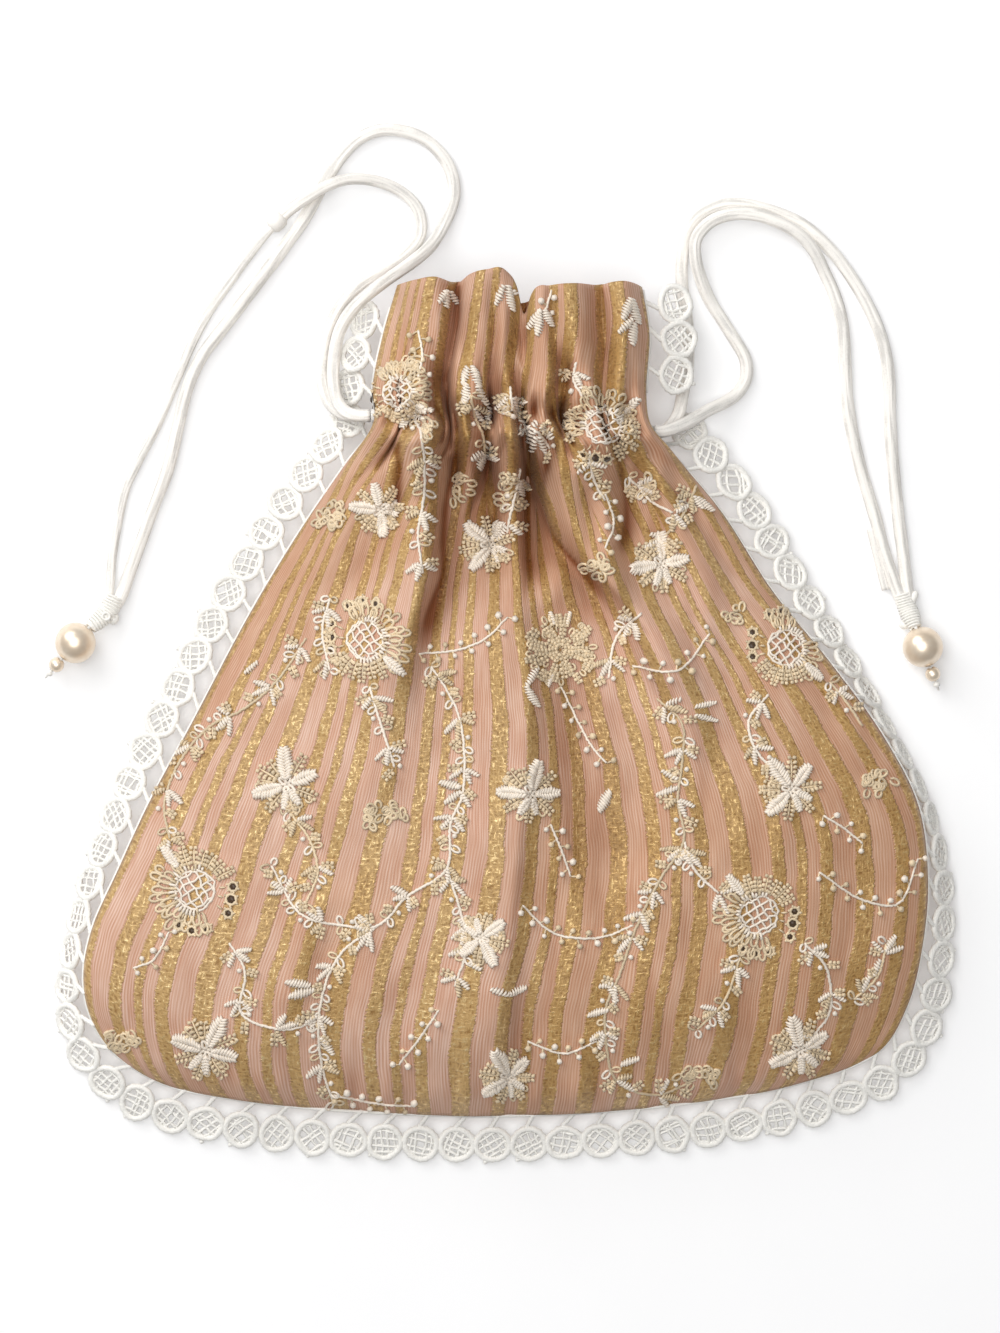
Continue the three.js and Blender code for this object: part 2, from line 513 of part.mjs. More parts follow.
// The hidden stretch of a drawstring: in at its slit, behind the front gathers, and back over the back.
function hiddenRoute(side, y) {
  const inside = side < 0 ? LEFT_RUN_END_X : RIGHT_RUN_END_X;
  const level = inside - side * RUN_END_LEVEL;
  const middle = (RUN_FRONT_Z + RUN_BACK_Z) / 2;
  const bend = (RUN_BEND * (RUN_FRONT_Z - RUN_BACK_Z)) / 2;
  return [
    [inside, y, EXIT_TOP_Z],
    [level, y, EXIT_TOP_Z],
    [side * RUN_SHOULDER_X, y, lerp(EXIT_TOP_Z, RUN_FRONT_Z, RUN_BEND)],
    [side * RUN_FLAT_X, y, RUN_FRONT_Z],
    [0, y, RUN_FRONT_Z],
    [side * -RUN_TURN_X, y, RUN_FRONT_Z],
    [side * -RUN_BEND_X, y, middle + bend],
    [side * -RUN_TIP_X, y, middle],
    [side * -RUN_BEND_X, y, middle - bend],
    [side * -RUN_TURN_X, y, RUN_BACK_Z],
    [0, y, RUN_BACK_Z],
    [side * RUN_FLAT_X, y, RUN_BACK_Z],
    [side * RUN_SHOULDER_X, y, lerp(EXIT_LOW_Z, RUN_BACK_Z, RUN_BEND)],
    [level, y, EXIT_LOW_Z],
    [inside, y, EXIT_LOW_Z],
  ];
}

// A turned solid from its outline, given as pairs of radius and height.
function turned(outline, sides) {
  return new THREE.LatheGeometry(outline.map(([radius, height]) => new THREE.Vector2(radius, height)), sides);
}

// A ball with a bore along its axis.
function drilledBall(radius, rings, sides) {
  const open = Math.asin(BORE_RADIUS / radius);
  const outline = [];
  for (let ring = 0; ring <= rings; ring++) {
    const angle = lerp(open, Math.PI - open, ring / rings) - Math.PI / 2;
    outline.push([radius * Math.cos(angle), radius * Math.sin(angle)]);
  }
  outline.push(outline[0]);
  return turned(outline, sides);
}

const pouch = new THREE.Group();
function addPiece(name, geometry, material, parent = pouch) {
  const mesh = new THREE.Mesh(geometry, material);
  mesh.name = name;
  parent.add(mesh);
  return mesh;
}

addPiece("front_panel", clothWall(frontPoint, PLEATS.length * COLUMNS_PER_PLEAT, PANEL_ROWS, 1), pinkCloth);
addPiece("back_panel", clothWall(backPoint, BACK_COLUMNS, BACK_ROWS, -1), pinkCloth);

addPiece("lace_left", laceRun(LACE_START, LEFT_CORNER), whiteLace);
addPiece("lace_bottom", laceRun(LEFT_CORNER, RIGHT_CORNER), whiteLace);
addPiece("lace_right", laceRun(RIGHT_CORNER, RIGHT_NECK - LACE_BELOW_NECK), whiteLace);
addPiece("lace_mouth_right", laceRun(RIGHT_NECK + LACE_ABOVE_NECK, LACE_END), whiteLace);

addPiece("left_cord_run", cordTube(hiddenRoute(-1, LEFT_SLIT_Y), CORD_RADIUS, RUN_STEP), whiteCord);
addPiece("left_cord_outer", cordTube(LEFT_OUTER_ROUTE, CORD_RADIUS), whiteCord);
addPiece("left_cord_inner", cordTube(LEFT_INNER_ROUTE, CORD_RADIUS), whiteCord);
addPiece("left_cord_thin", cordTube(LEFT_THIN_ROUTE, THIN_CORD_RADIUS), whiteCord);
addPiece("right_cord_run", cordTube(hiddenRoute(1, RIGHT_SLIT_Y), CORD_RADIUS, RUN_STEP), whiteCord);
addPiece("right_cord_inner", cordTube(RIGHT_INNER_ROUTE, CORD_RADIUS), whiteCord);
addPiece("right_cord_outer", cordTube(RIGHT_OUTER_ROUTE, CORD_RADIUS), whiteCord);

const knot = addPiece("left_cord_knot", turned(KNOT_OUTLINE, KNOT_SIDES), whiteCord);
knot.rotation.set(0, 0, KNOT_HEADING - Math.PI / 2);
knot.position.set(...KNOT_MIDDLE);

for (const { side, start, heading, pearl } of ENDS) {
  // The thread-bound end that holds both strands, rising from the surface to the pearl's thread.
  const wrap = addPiece(`${side}_end_wrap`, turned(WRAP_OUTLINE, WRAP_SIDES), whiteCord);
  wrap.scale.set(1, 1, WRAP_FLAT);
  wrap.rotation.set(WRAP_SLOPE, 0, heading - Math.PI / 2, "ZXY");
  wrap.position.set(...start);

  const beads = new THREE.Group();
  beads.position.set(...pearl, PEARL_RADIUS);
  beads.rotation.set(BEAD_SLOPE, 0, heading - Math.PI / 2, "ZXY");
  pouch.add(beads);
  addPiece(`${side}_pearl`, drilledBall(PEARL_RADIUS, PEARL_RINGS, PEARL_SIDES), creamPearl, beads);
  const seedAt = PEARL_RADIUS + TOUCH_GAP + SEED_RADIUS;
  const seedBall = drilledBall(SEED_RADIUS, SEED_RINGS, SEED_SIDES);
  const seed = addPiece(`${side}_seed_bead`, seedBall, creamPearl, beads);
  seed.position.y = seedAt;
  const knotAt = seedAt + SEED_RADIUS + TOUCH_GAP;
  const thread = [
    [0, -PEARL_RADIUS - THREAD_STICKS_OUT],
    [THREAD_RADIUS, -PEARL_RADIUS - THREAD_STICKS_OUT],
    ...THREAD_KNOT.map(([radius, height]) => [radius, knotAt + height]),
  ];
  addPiece(`${side}_bead_thread`, turned(thread, THREAD_SIDES), whiteCord, beads);
}

export default pouch;
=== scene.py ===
"""Drawstring pouch of striped tissue cloth, dressed with embroidery, ring lace, drawstrings and pearls.

The shapes repeat the solids' own sizes at a finer step. Tables are in millimetres, and what is built
is in metres.
"""

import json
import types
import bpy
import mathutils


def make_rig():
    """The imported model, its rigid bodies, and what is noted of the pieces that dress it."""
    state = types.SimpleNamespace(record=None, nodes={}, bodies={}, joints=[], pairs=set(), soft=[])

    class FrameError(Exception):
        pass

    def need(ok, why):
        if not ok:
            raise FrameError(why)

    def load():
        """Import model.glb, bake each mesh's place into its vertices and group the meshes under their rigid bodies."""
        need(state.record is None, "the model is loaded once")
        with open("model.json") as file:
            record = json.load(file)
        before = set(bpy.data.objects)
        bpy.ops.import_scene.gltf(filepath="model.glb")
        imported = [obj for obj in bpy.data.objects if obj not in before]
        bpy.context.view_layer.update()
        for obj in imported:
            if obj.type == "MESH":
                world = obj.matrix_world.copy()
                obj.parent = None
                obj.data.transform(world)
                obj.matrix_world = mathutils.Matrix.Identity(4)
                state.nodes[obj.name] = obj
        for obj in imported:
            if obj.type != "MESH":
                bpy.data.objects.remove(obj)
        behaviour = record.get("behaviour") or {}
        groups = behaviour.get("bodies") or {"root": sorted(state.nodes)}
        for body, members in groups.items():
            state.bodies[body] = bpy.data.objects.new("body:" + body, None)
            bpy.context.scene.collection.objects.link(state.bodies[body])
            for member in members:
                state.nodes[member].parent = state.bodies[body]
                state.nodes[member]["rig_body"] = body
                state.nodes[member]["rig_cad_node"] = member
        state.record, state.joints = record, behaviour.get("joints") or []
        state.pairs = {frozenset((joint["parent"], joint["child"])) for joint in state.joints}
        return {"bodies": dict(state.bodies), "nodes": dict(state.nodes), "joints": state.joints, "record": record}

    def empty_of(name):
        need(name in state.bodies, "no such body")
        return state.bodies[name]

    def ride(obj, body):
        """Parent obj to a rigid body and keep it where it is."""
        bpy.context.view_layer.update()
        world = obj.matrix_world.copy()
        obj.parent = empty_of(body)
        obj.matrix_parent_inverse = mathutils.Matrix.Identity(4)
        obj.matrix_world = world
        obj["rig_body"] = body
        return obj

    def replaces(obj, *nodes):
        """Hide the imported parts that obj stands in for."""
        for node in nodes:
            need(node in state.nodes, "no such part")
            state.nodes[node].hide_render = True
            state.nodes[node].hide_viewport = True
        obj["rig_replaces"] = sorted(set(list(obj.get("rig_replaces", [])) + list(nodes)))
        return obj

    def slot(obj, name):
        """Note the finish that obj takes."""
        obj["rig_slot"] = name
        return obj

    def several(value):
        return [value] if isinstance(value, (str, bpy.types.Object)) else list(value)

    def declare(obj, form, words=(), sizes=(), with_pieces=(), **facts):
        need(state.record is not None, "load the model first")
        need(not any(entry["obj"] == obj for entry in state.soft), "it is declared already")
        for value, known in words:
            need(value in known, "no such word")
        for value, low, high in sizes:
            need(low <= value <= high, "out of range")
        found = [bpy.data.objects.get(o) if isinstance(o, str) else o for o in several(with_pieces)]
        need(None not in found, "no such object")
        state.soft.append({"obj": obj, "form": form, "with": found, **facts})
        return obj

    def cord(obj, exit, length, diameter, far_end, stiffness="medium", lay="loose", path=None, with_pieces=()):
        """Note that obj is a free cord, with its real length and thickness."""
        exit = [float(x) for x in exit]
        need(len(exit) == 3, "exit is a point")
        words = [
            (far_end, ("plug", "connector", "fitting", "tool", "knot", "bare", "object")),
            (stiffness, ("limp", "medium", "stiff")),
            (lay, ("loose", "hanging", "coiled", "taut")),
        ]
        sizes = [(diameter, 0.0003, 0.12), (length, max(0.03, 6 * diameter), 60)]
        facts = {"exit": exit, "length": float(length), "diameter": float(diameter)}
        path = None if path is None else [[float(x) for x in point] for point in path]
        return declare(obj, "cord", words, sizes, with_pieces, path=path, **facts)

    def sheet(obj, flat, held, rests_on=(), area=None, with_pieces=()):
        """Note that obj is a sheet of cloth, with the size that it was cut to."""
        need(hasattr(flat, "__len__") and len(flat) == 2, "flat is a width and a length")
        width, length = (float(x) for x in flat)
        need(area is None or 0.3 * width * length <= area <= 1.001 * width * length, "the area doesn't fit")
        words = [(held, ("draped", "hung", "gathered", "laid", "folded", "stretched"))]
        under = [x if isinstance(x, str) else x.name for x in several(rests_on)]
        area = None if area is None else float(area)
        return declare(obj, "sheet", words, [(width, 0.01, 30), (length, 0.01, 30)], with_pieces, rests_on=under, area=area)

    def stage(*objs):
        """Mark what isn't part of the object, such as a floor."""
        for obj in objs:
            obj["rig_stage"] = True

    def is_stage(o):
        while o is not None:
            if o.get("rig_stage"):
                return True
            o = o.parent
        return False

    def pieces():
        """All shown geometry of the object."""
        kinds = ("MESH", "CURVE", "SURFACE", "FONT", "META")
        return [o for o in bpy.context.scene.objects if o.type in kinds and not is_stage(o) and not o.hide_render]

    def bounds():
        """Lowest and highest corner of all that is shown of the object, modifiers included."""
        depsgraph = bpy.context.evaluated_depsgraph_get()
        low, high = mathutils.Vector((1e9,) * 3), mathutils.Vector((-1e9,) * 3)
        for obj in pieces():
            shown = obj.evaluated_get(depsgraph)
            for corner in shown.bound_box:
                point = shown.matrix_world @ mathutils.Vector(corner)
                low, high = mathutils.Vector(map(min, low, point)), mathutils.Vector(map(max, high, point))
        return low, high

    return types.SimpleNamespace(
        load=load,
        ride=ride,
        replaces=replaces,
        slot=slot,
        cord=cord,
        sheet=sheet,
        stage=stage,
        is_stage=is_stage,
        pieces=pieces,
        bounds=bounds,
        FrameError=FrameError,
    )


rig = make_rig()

bl_info = {
    "name": "Drawstring Pouch",
    "version": (1, 0, 0),
    "blender": (4, 5, 0),
    "location": "View3D > Sidebar > Pouch",
    "description": "Dresses a drawstring pouch in striped cloth, embroidery, lace, drawstrings and pearls",
    "category": "Add Mesh",
}

import json
import math
import random

import bmesh
import bpy
import numpy as np
from bpy.props import FloatProperty, FloatVectorProperty, PointerProperty
from mathutils import Matrix, Vector, noise
from mathutils.bvhtree import BVHTree

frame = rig.load()
CAD_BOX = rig.bounds()

MM = 0.001
SIZE_FILE = "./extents.json"
UV_NAME = "weave"

# Soft round lights: name, place, width, share of the light.
LIGHTS = [("overhead", (-0.2, 0.1, 1.7), 1.6, 0.6), ("window", (-0.8, 0.95, 0.9), 1.3, 0.4)]

# The photograph's frame, and where its middle lies on the pouch.
PHOTO_PIXELS = (1000, 1333)
PHOTO_MM_PER_PIXEL = 0.25
PHOTO_MIDDLE = (-1.9, 12.9)
PHOTO_LEVEL = 10
SENSOR = 36

# Cloth, as the solids have it
CLOTH_THICK = 1.2
EDGE_THICK = 0.55
EDGE_REACH = 0.03
SEAM_GAP = 0.3
NECK_UP = 0.835
NECK_Y = 73.5
BOTTOM_FADE = 1.5
CINCH_DIP = 0.35
CINCH_WIDE = 4
PLEAT_FULL = 0.6
SHOULDER = 0.55
BACK_FLAT = 0.72
BACK_FOOT = 0.09
BACK_PLEATS = 5
BACK_PLEAT_DEEP = 3
BACK_RISE = 0.7
# Notch in the back's rim and the painted shade inside the mouth: x, depth, width, and y from and to.
NOTCH_X = 3.2
NOTCH_DEEP = 3.6
NOTCH_WIDE = 5
RIM_PART = (0.9, 1)
MOUTH_SHADE = (96, 101)
SLIT_OPEN = 4.6
SLIT_FULL = 4.5
SLIT_END = 11
LEFT_SLIT_Y = 75.4
RIGHT_SLIT_Y = 71.4
GAP_POWER = 6
GATHER_FROM = 0.5
BACK_GATHER = (0.66, 0.8)

# The seam from the left end of the mouth, round the bottom, to the right end: x, y, z and the lace's slope.
SEAM = [
    (-27.6, 108, 12, -42), (-31.1, 95.8, 12.4, -45), (-33.6, 83, 12.8, -38), (-33.4, 73.5, 13, -29),
    (-40.6, 63.3, 11, -30), (-51.9, 47, 7.5, -22), (-64.4, 26.5, 6.2, -18), (-79.4, -1.8, 6.4, -19),
    (-89.4, -20.5, 8, -27), (-97.4, -38, 10, -42), (-103.9, -53, 11.6, -56), (-105.9, -64.3, 11.6, -57),
    (-104.4, -74.3, 9.8, -42), (-98.9, -83.5, 7.4, -26), (-86.9, -91.5, 5.6, -18), (-69.4, -95.5, 5.2, -16),
    (-44.4, -98.3, 5, -15), (-6.9, -99.8, 5, -15), (23.1, -98.8, 5, -15), (48.1, -96.3, 5, -15),
    (70.6, -92.3, 5.4, -17), (93.1, -83.5, 6.4, -21), (100.1, -71.8, 8.4, -30), (103.6, -56.8, 11.2, -46),
    (104.9, -40.5, 11.8, -57), (102.4, -21.8, 13, -73), (93.6, -4.3, 13, -74), (80.6, 13.8, 11.6, -56),
    (66.1, 32, 9, -32), (53.6, 51.5, 8, -22), (40.6, 67, 10.5, -22), (35.4, 73.5, 13, -22),
    (34.6, 82, 12.8, -18), (35.4, 95.8, 12.4, -15), (33.6, 107.5, 12, -15),
]
LEFT_CORNER_ROW = 13
RIGHT_CORNER_ROW = 21
RIGHT_NECK_ROW = 31

# Sections of the front from the bottom seam to the rim: share up, height over the seam, squareness.
SECTIONS = [
    (0, 0, 2.2), (0.02, 4.6, 2.2), (0.06, 9, 2.2), (0.13, 13.2, 2.2), (0.24, 16.6, 2.3), (0.38, 17.6, 2.4),
    (0.52, 16, 2.6), (0.66, 12.4, 3), (0.77, 8.4, 3.6), (NECK_UP, 7, 4), (0.9, 7.6, 4), (1, 7, 4),
]

# Pleats across the neck: width, depth at the neck, reach down the body.
PLEATS = [(7, 4, 34), (12, 7, 30), (10, 6, 26), (8.5, 5, 38), (9, 5.5, 30), (11, 7, 30), (11.25, 5, 36)]

# Lobes of the frill's rim: place across, bulge to the front, lift.
LOBES = [
    (-27.6, 0, 0), (-23, 4.6, 0.8), (-18, 6.2, 1.4), (-13.6, 3.4, 0.4), (-11.8, 1.4, 0.6), (-9.6, 4.4, 2),
    (-5, 7, 3.2), (-0.5, 6, 3), (2.4, 3, -1.2), (4, 0.6, -7.4), (5.8, 3.2, -2.8), (11, 6.2, -0.6),
    (17, 6.2, 0), (21.4, 3.4, 0), (23.4, 2, 0.2), (25.6, 3.8, 0.6), (29.4, 5.6, 0.8), (32, 3, 0.4),
    (33.6, 0, 0),
]

# Long folds below the neck: y and x of the ridge from its foot up, height, left flank and right flank.
FOLDS = [
    ((10, 20, 38, 50, 68), (-27, -24.5, -21.5, -20.5, -20), 8, 9, 3.5),
    ((2, 20, 36, 48, 64), (44, 34, 23, 16, 13), 8, 3.5, 9),
    ((34, 46, 66), (2.5, 1.5, 1), 5.5, 2.6, 2.6),
    ((34, 46, 68), (27, 25, 24), 4, 3, 3.5),
    ((34, 48, 64), (-47, -40, -32), 3.5, 5, 4),
    ((30, 46, 64), (51, 43, 34), 3.5, 4, 5),
    ((-88, -40, 0, 24), (-4, 1, 4, 3), 5, 16, 3.6),
    ((-46, -10, 30), (20, 17, 15), -4.6, 7, 14),
    ((-26, 2, 16), (-36, -32, -28), 3.4, 14, 7),
    ((-84, -62, -44), (-62, -54, -46), 2, 9, 6),
    ((-80, -60, -40), (42, 40, 36), 2, 8, 6),
]
FOLD_FADE = 16
FOLD_TOP = (4, 8)

# Creases of the cloth between the folds, in the frill and on the body, in the same columns.
CREASES = [
    ((79.5, 87, 97, 108), (-16.9, -15.1, -13.1, -12.6), -5.5, 2.6, 1.2),
    ((79.5, 93, 102.5), (-0.6, 1.9, 3.6), -3.5, 2.2, 2),
    ((79.5, 89.5), (16.9, 14.4), -3, 1.8, 1.8),
    ((84, 96, 106), (12.6, 11.6, 11), -3, 1.4, 2.2),
    ((79.5, 95, 108), (26, 24, 23.1), -3.4, 2.4, 1.8),
    ((77, 100.5), (-17.4, -19.9), -2, 1.6, 1.6),
    ((82, 104), (-2.6, -3.6), -1.8, 1.5, 1.5),
    ((20.6, 26.2, 35.5, 44.8, 55, 66), (-21.5, -19.6, -15.9, -15.9, -15, -12.2), -6, 1.6, 6),
    ((49.5, 57, 65.2), (-9.1, -7.2, -6.4), -4.5, 1.4, 2.5),
    ((33.7, 49.5, 62.5), (5.6, 4.7, 5.1), -5.5, 1.3, 4),
    ((40, 49.5, 62.5), (-3, -3.5, -2.6), -4, 2.5, 1.2),
    ((20.6, 28, 36.5, 41, 47.6, 55, 64.3), (33.2, 27.6, 19.2, 14.6, 10, 7.9, 9.2), -6, 6, 1.4),
    ((37, 49.5, 67), (40, 36.9, 35.6), -2.6, 2, 2),
    ((40.2, 49.5, 62.5), (27.1, 29.9, 28.1), -3.5, 1.6, 3),
    ((55, 62.5, 70), (-42.6, -33.2, -25.9), -2.4, 2, 2),
    ((30.8, 40.2, 55), (-38.9, -34.1, -26.7), -2, 3, 3),
    ((36, 49.5, 66.2), (56, 47.6, 37.4), -2, 2.5, 2.5),
    ((50, 58, 66), (-28.5, -27.2, -26.6), -4, 1.4, 2),
    ((74, 80, 87), (-26.6, -26.4, -26.2), 4.5, 4, 4),
    ((60, 68, 76, 84), (-13.6, -13.4, -14.2, -15.6), -7, 2.2, 1.5),
    ((58, 66, 75, 84), (-5.2, -5.2, -4.6, -3.6), -6.5, 1.4, 2.2),
    ((56, 66, 75, 84), (4.8, 4.4, 3.8, 2.6), -6.5, 1.6, 2),
    ((60, 68, 76, 86), (10, 12, 13.4, 14.6), -6.5, 2.2, 1.4),
    ((64, 70, 78), (24.4, 24.2, 24), 5, 4.5, 4.5),
    ((56, 66, 75, 88), (33.4, 31.8, 31.2, 30.8), -3.6, 1.4, 1.8),
    ((58, 68), (-20.6, -20.4), 3, 3, 3),
    ((58, 68), (-9.6, -9.2), 3, 2.4, 2.4),
    ((56, 68), (0.4, -0.2), 2.8, 2.4, 2.4),
    ((57, 68), (8.4, 8.8), 2.8, 2.2, 2.2),
    ((57, 68), (18.6, 18.4), 3.2, 3, 3),
    ((57, 68), (31, 29.6), 2.4, 2.6, 2.6),
    ((34, 48, 66), (2, 0, -1), -5, 10, 10),
]
CREASE_FADE = 6
CREASE_TOP = (4, 6)

# Wrinkles of the cloth: length across the stripes, length along them, depth.
WRINKLES = [(20, 70, 1.8), (9, 26, 1.4), (4, 10, 0.5)]
# Fine gathers under the drawstring: number across, depth, lift, reach up and down, and unevenness.
GATHERS = 20
GATHER_DEEP = 2.2
GATHER_LIFT = 0.35
GATHER_REACH = 9
GATHER_UNEVEN = 4
# Ruching that the drawstring bunches up: middle, reach up and down, width and height of a bulge, depth.
RUCHE_Y = 72.5
RUCHE_REACH = 6.5
RUCHE_BULGE = (3.2, 6)
RUCHE_DEEP = 8
# Puckers of the bottom seam: width, depth, reach up the body.
PUCKER_WIDE = 4
PUCKER_DEEP = 5
PUCKER_REACH = 9
# Groove that the drawstring pulls into the front: height up the front, depth, width, wander and its length.
GROOVE_Y = 75.8
GROOVE_DEEP = 1.8
GROOVE_WIDE = 2
GROOVE_WANDER = 2.4
GROOVE_LONG = 7
# Puffs of the cloth below and above that groove: distance from it, height, reach.
PUFFS = [(-5.2, 3.6, 3.2), (5.6, 2, 3.4)]
PLEAT_ROUND = 0.6
# Layers of the noise, so that no two unevennesses are alike.
WRINKLE_LAYER = 7.3
GATHER_LAYER = 3
RUCHE_LAYER = 2.6
PUCKER_LAYER = 5.2
GROOVE_LAYER = 1.7
ROLL_LAYER = 4.1
# Painted shade in the hollows of the cloth, where less light gets in: depth at which it starts and is full, then its
# strength.
HOLLOW = (0.8, 7.5)
HOLLOW_SHADE = 0.6
# Painted shade in the creases, by how far a point lies below the mean of its neighbours: depths, and the grid's reach.
CREASE_SHADE = (0.15, 3)
CREASE_ROWS = 2
CREASE_COLUMNS = 7
COLUMNS_PER_PLEAT = 34
FRONT_ROWS = 178
BACK_GRID = (112, 96)

# Shine of the cloth, thread, lace, cord and pearls, the same all over each.
CLOTH_SURFACE = {
    "Sheen Weight": 0.2, "Sheen Roughness": 0.4, "Sheen Tint": (1, 0.66, 0.46, 1), "IOR": 1.35,
}
THREAD_SURFACE = {"Roughness": 0.45, "Sheen Weight": 0.25, "IOR": 1.5}
LACE_SURFACE = {"Roughness": 0.8, "Sheen Weight": 0.2}
CORD_SURFACE = {"Roughness": 0.6, "Sheen Weight": 0.25, "IOR": 1.45}
PEARL_SURFACE = {
    "Metallic": 0.5, "Roughness": 0.34, "Coat Weight": 0.4, "Coat Roughness": 0.25, "IOR": 1.6,
}
# Noise over the cloth, in repeats across and along it.
CLOTH_NOISE = {
    "wander": (1.1, 0.8), "waver": (4, 2.6), "ragged": (34, 52), "threads": (84, 2.4), "slub": (4, 2.2),
    "pins": (9, 3), "long_flecks": (44, 17), "cross_flecks": (19, 46), "glow": (5, 3),
}
# How far the stripes wander, waver and fray, in repeats, and the pin lines in a repeat.
STRIPE_WANDER = 0.09
STRIPE_WAVER = 0.06
STRIPE_FRAY = 0.04
PIN_LINES = 44
# Pink: shares of threads, slub and pin lines in its tone, and the ramp's places for shade, body and pale.
PINK_SHARES = (0.6, 0.5, 0.3)
PINK_PLACES = (0.34, 0.56, 0.8)
# Gold: shift of its flecks, share and shift of its glow, the dim body's share, and the ramp's places.
FLECK_SHIFT = 0.06
GLOW_SHARE = 0.16
GLOW_SHIFT = 0.08
GOLD_DIM = 0.85
GOLD_PLACES = (0.33, 0.44, 0.54, 0.66)
# Metal of the flecks: where it starts and is full, and its strength. Roughness: of pink, and less on gold.
METAL_FLECKS = (0.5, 0.62)
METAL = 0.45
CLOTH_ROUGH = 0.6
GOLD_SMOOTH = 0.2
# Faded places: size of their noise per metre, and where fading starts and is full.
FADE_SCALE = 16
FADE = (0.4, 0.66)
# Relief of the cloth: flecks, gold stripes and threads, then strength, and height in metres.
CLOTH_RELIEF = (1.6, 0.5, 0.4)
CLOTH_BUMP = (0.55, 0.0005)
# Relief of thread, lace and cord: strength, and height in metres.
THREAD_BUMP = (0.35, 0.0002)
LACE_BUMP = (0.6, 0.0003)
CORD_BUMP = (0.6, 0.0006)
# Shares in a tone: the stitch's own tone and fibre of thread, fibre and soil of lace,
# creases as painted shade, wear and weave of cord. Relief of cord: creases and weave.
THREAD_SHARES = (0.7, 0.3)
LACE_SHARES = (0.6, 0.4)
CORD_SHARES = (0.65, 0.25, 0.1)
CORD_RELIEF = (1.5, 0.2)
# Where the tone of lace, cord and pearl starts to turn light, and is light.
LACE_TONES = (0.3, 0.6)
CORD_TONES = (0.36, 0.54)
PEARL_TONES = (0.35, 0.65)
# Noise of the fine fibres per metre, of soil on the lace, of clouds in the pearl and of the paper's grain.
THREAD_FIBRE = 2600
LACE_FIBRE = 2100
LACE_SOIL = 90
CORD_FIBRE = 2200
PEARL_CLOUD = 300
PAPER_GRAIN = 40
PAPER_TONES = ((0.77, 0.77, 0.775), (0.79, 0.79, 0.795))
# Noise of the cord's creases, whose darkening is painted shade, and of its wear, in repeats along and round it.
CORD_CREASES = (60, 7)
CORD_WEAR = (160, 2)
# Dark shade of lace, cord and pearl as a share of their colour.
LACE_DARK = 0.88
CORD_DARK = 0.72
PEARL_DARK = (0.94, 0.9, 0.86)

# Stripes of one repeat, by turns pink and gold, and where the first repeat starts.
STRIPES = (5.4, 4.4, 5.3, 3.2, 3, 2.3, 3.2, 3.4)
STRIPE_SHIFT = 0.25
STRIPE_SOFT = 0.005
SHOWN_AT_NECK = 0.46
HIDDEN_REACH = 40

# Lace
RING_PITCH = 9
RING_RADIUS = 4.9
RUNG_LONG = 1.8
LACE_CLEAR = 1
RING_MIDDLE = LACE_CLEAR + RUNG_LONG + RING_RADIUS
TOUCH_GAP = 0.3

# Routes of the drawstrings outside the pouch, from the slit into the knot or the wrapped end.
LEFT_OUTER_ROUTE = [
    (-34.3, 75.4, 15.1), (-36.4, 75.4, 15), (-39.8, 76.2, 12.9), (-42.5, 79.2, 9.8), (-43.6, 84.4, 7.4),
    (-43.4, 91, 6.6), (-42, 97, 7.6), (-38.8, 102.2, 9.8), (-34.2, 106.4, 11), (-29.6, 110, 10.2),
    (-24.4, 113.8, 7.6), (-19.4, 118.4, 4.6), (-15.6, 124.8, 2), (-13.4, 132, 1.6), (-14.9, 139, 1.6),
    (-19.6, 144.6, 1.6), (-25.6, 147.4, 1.6), (-31.9, 147.8, 1.6), (-37.6, 145.4, 1.6), (-42.2, 140.6, 1.6),
    (-46.4, 134, 1.6), (-51.2, 125.4, 1.6), (-57.6, 116.4, 1.6), (-64.4, 107.4, 1.6), (-71.4, 98.2, 1.6),
    (-76.9, 90.8, 1.6), (-80.4, 83.2, 1.6), (-82.9, 73.2, 1.6), (-85.6, 62, 1.6), (-89.4, 52, 1.6),
    (-92.6, 43.2, 1.6), (-95.3, 35.8, 1.8), (-97.5, 29.9, 2.4), (-99.3, 27.3, 2.9),
]
LEFT_INNER_ROUTE = [
    (-34.3, 75.4, 10.9), (-36.4, 75.4, 10.6), (-40.8, 76, 8), (-44.8, 79, 4.4), (-46.6, 84.6, 1.9),
    (-46.3, 91.4, 1.6), (-44.8, 98, 1.6), (-41.7, 104, 1.6), (-37, 108.6, 1.6), (-31.2, 112.4, 1.6),
    (-25.4, 116.4, 1.6), (-21.8, 121.6, 1.6), (-22.4, 127.6, 1.6), (-26.6, 132.2, 1.8), (-32.8, 134.8, 3),
    (-39.6, 135.2, 4.8), (-45.8, 133.2, 5.6), (-51.4, 129.8, 4.4), (-55.9, 126.6, 2.8), (-57.2, 125.3, 2.6),
]
LEFT_THIN_ROUTE = [
    (-58.6, 123.9, 2.6), (-59.7, 122.8, 2.6), (-63.8, 118, 1.3), (-69.2, 110.6, 1.2), (-74.2, 103.6, 1.2),
    (-78.6, 95.8, 1.2), (-82, 88.2, 1.2), (-85.6, 79.5, 1.2), (-89.2, 71.5, 1.2), (-92.9, 64.5, 1.2),
    (-95.9, 58.2, 1.2), (-98, 49.5, 1.2), (-99.4, 40.8, 1.4), (-100, 32.4, 2.4), (-100.6, 27.6, 2.9),
]
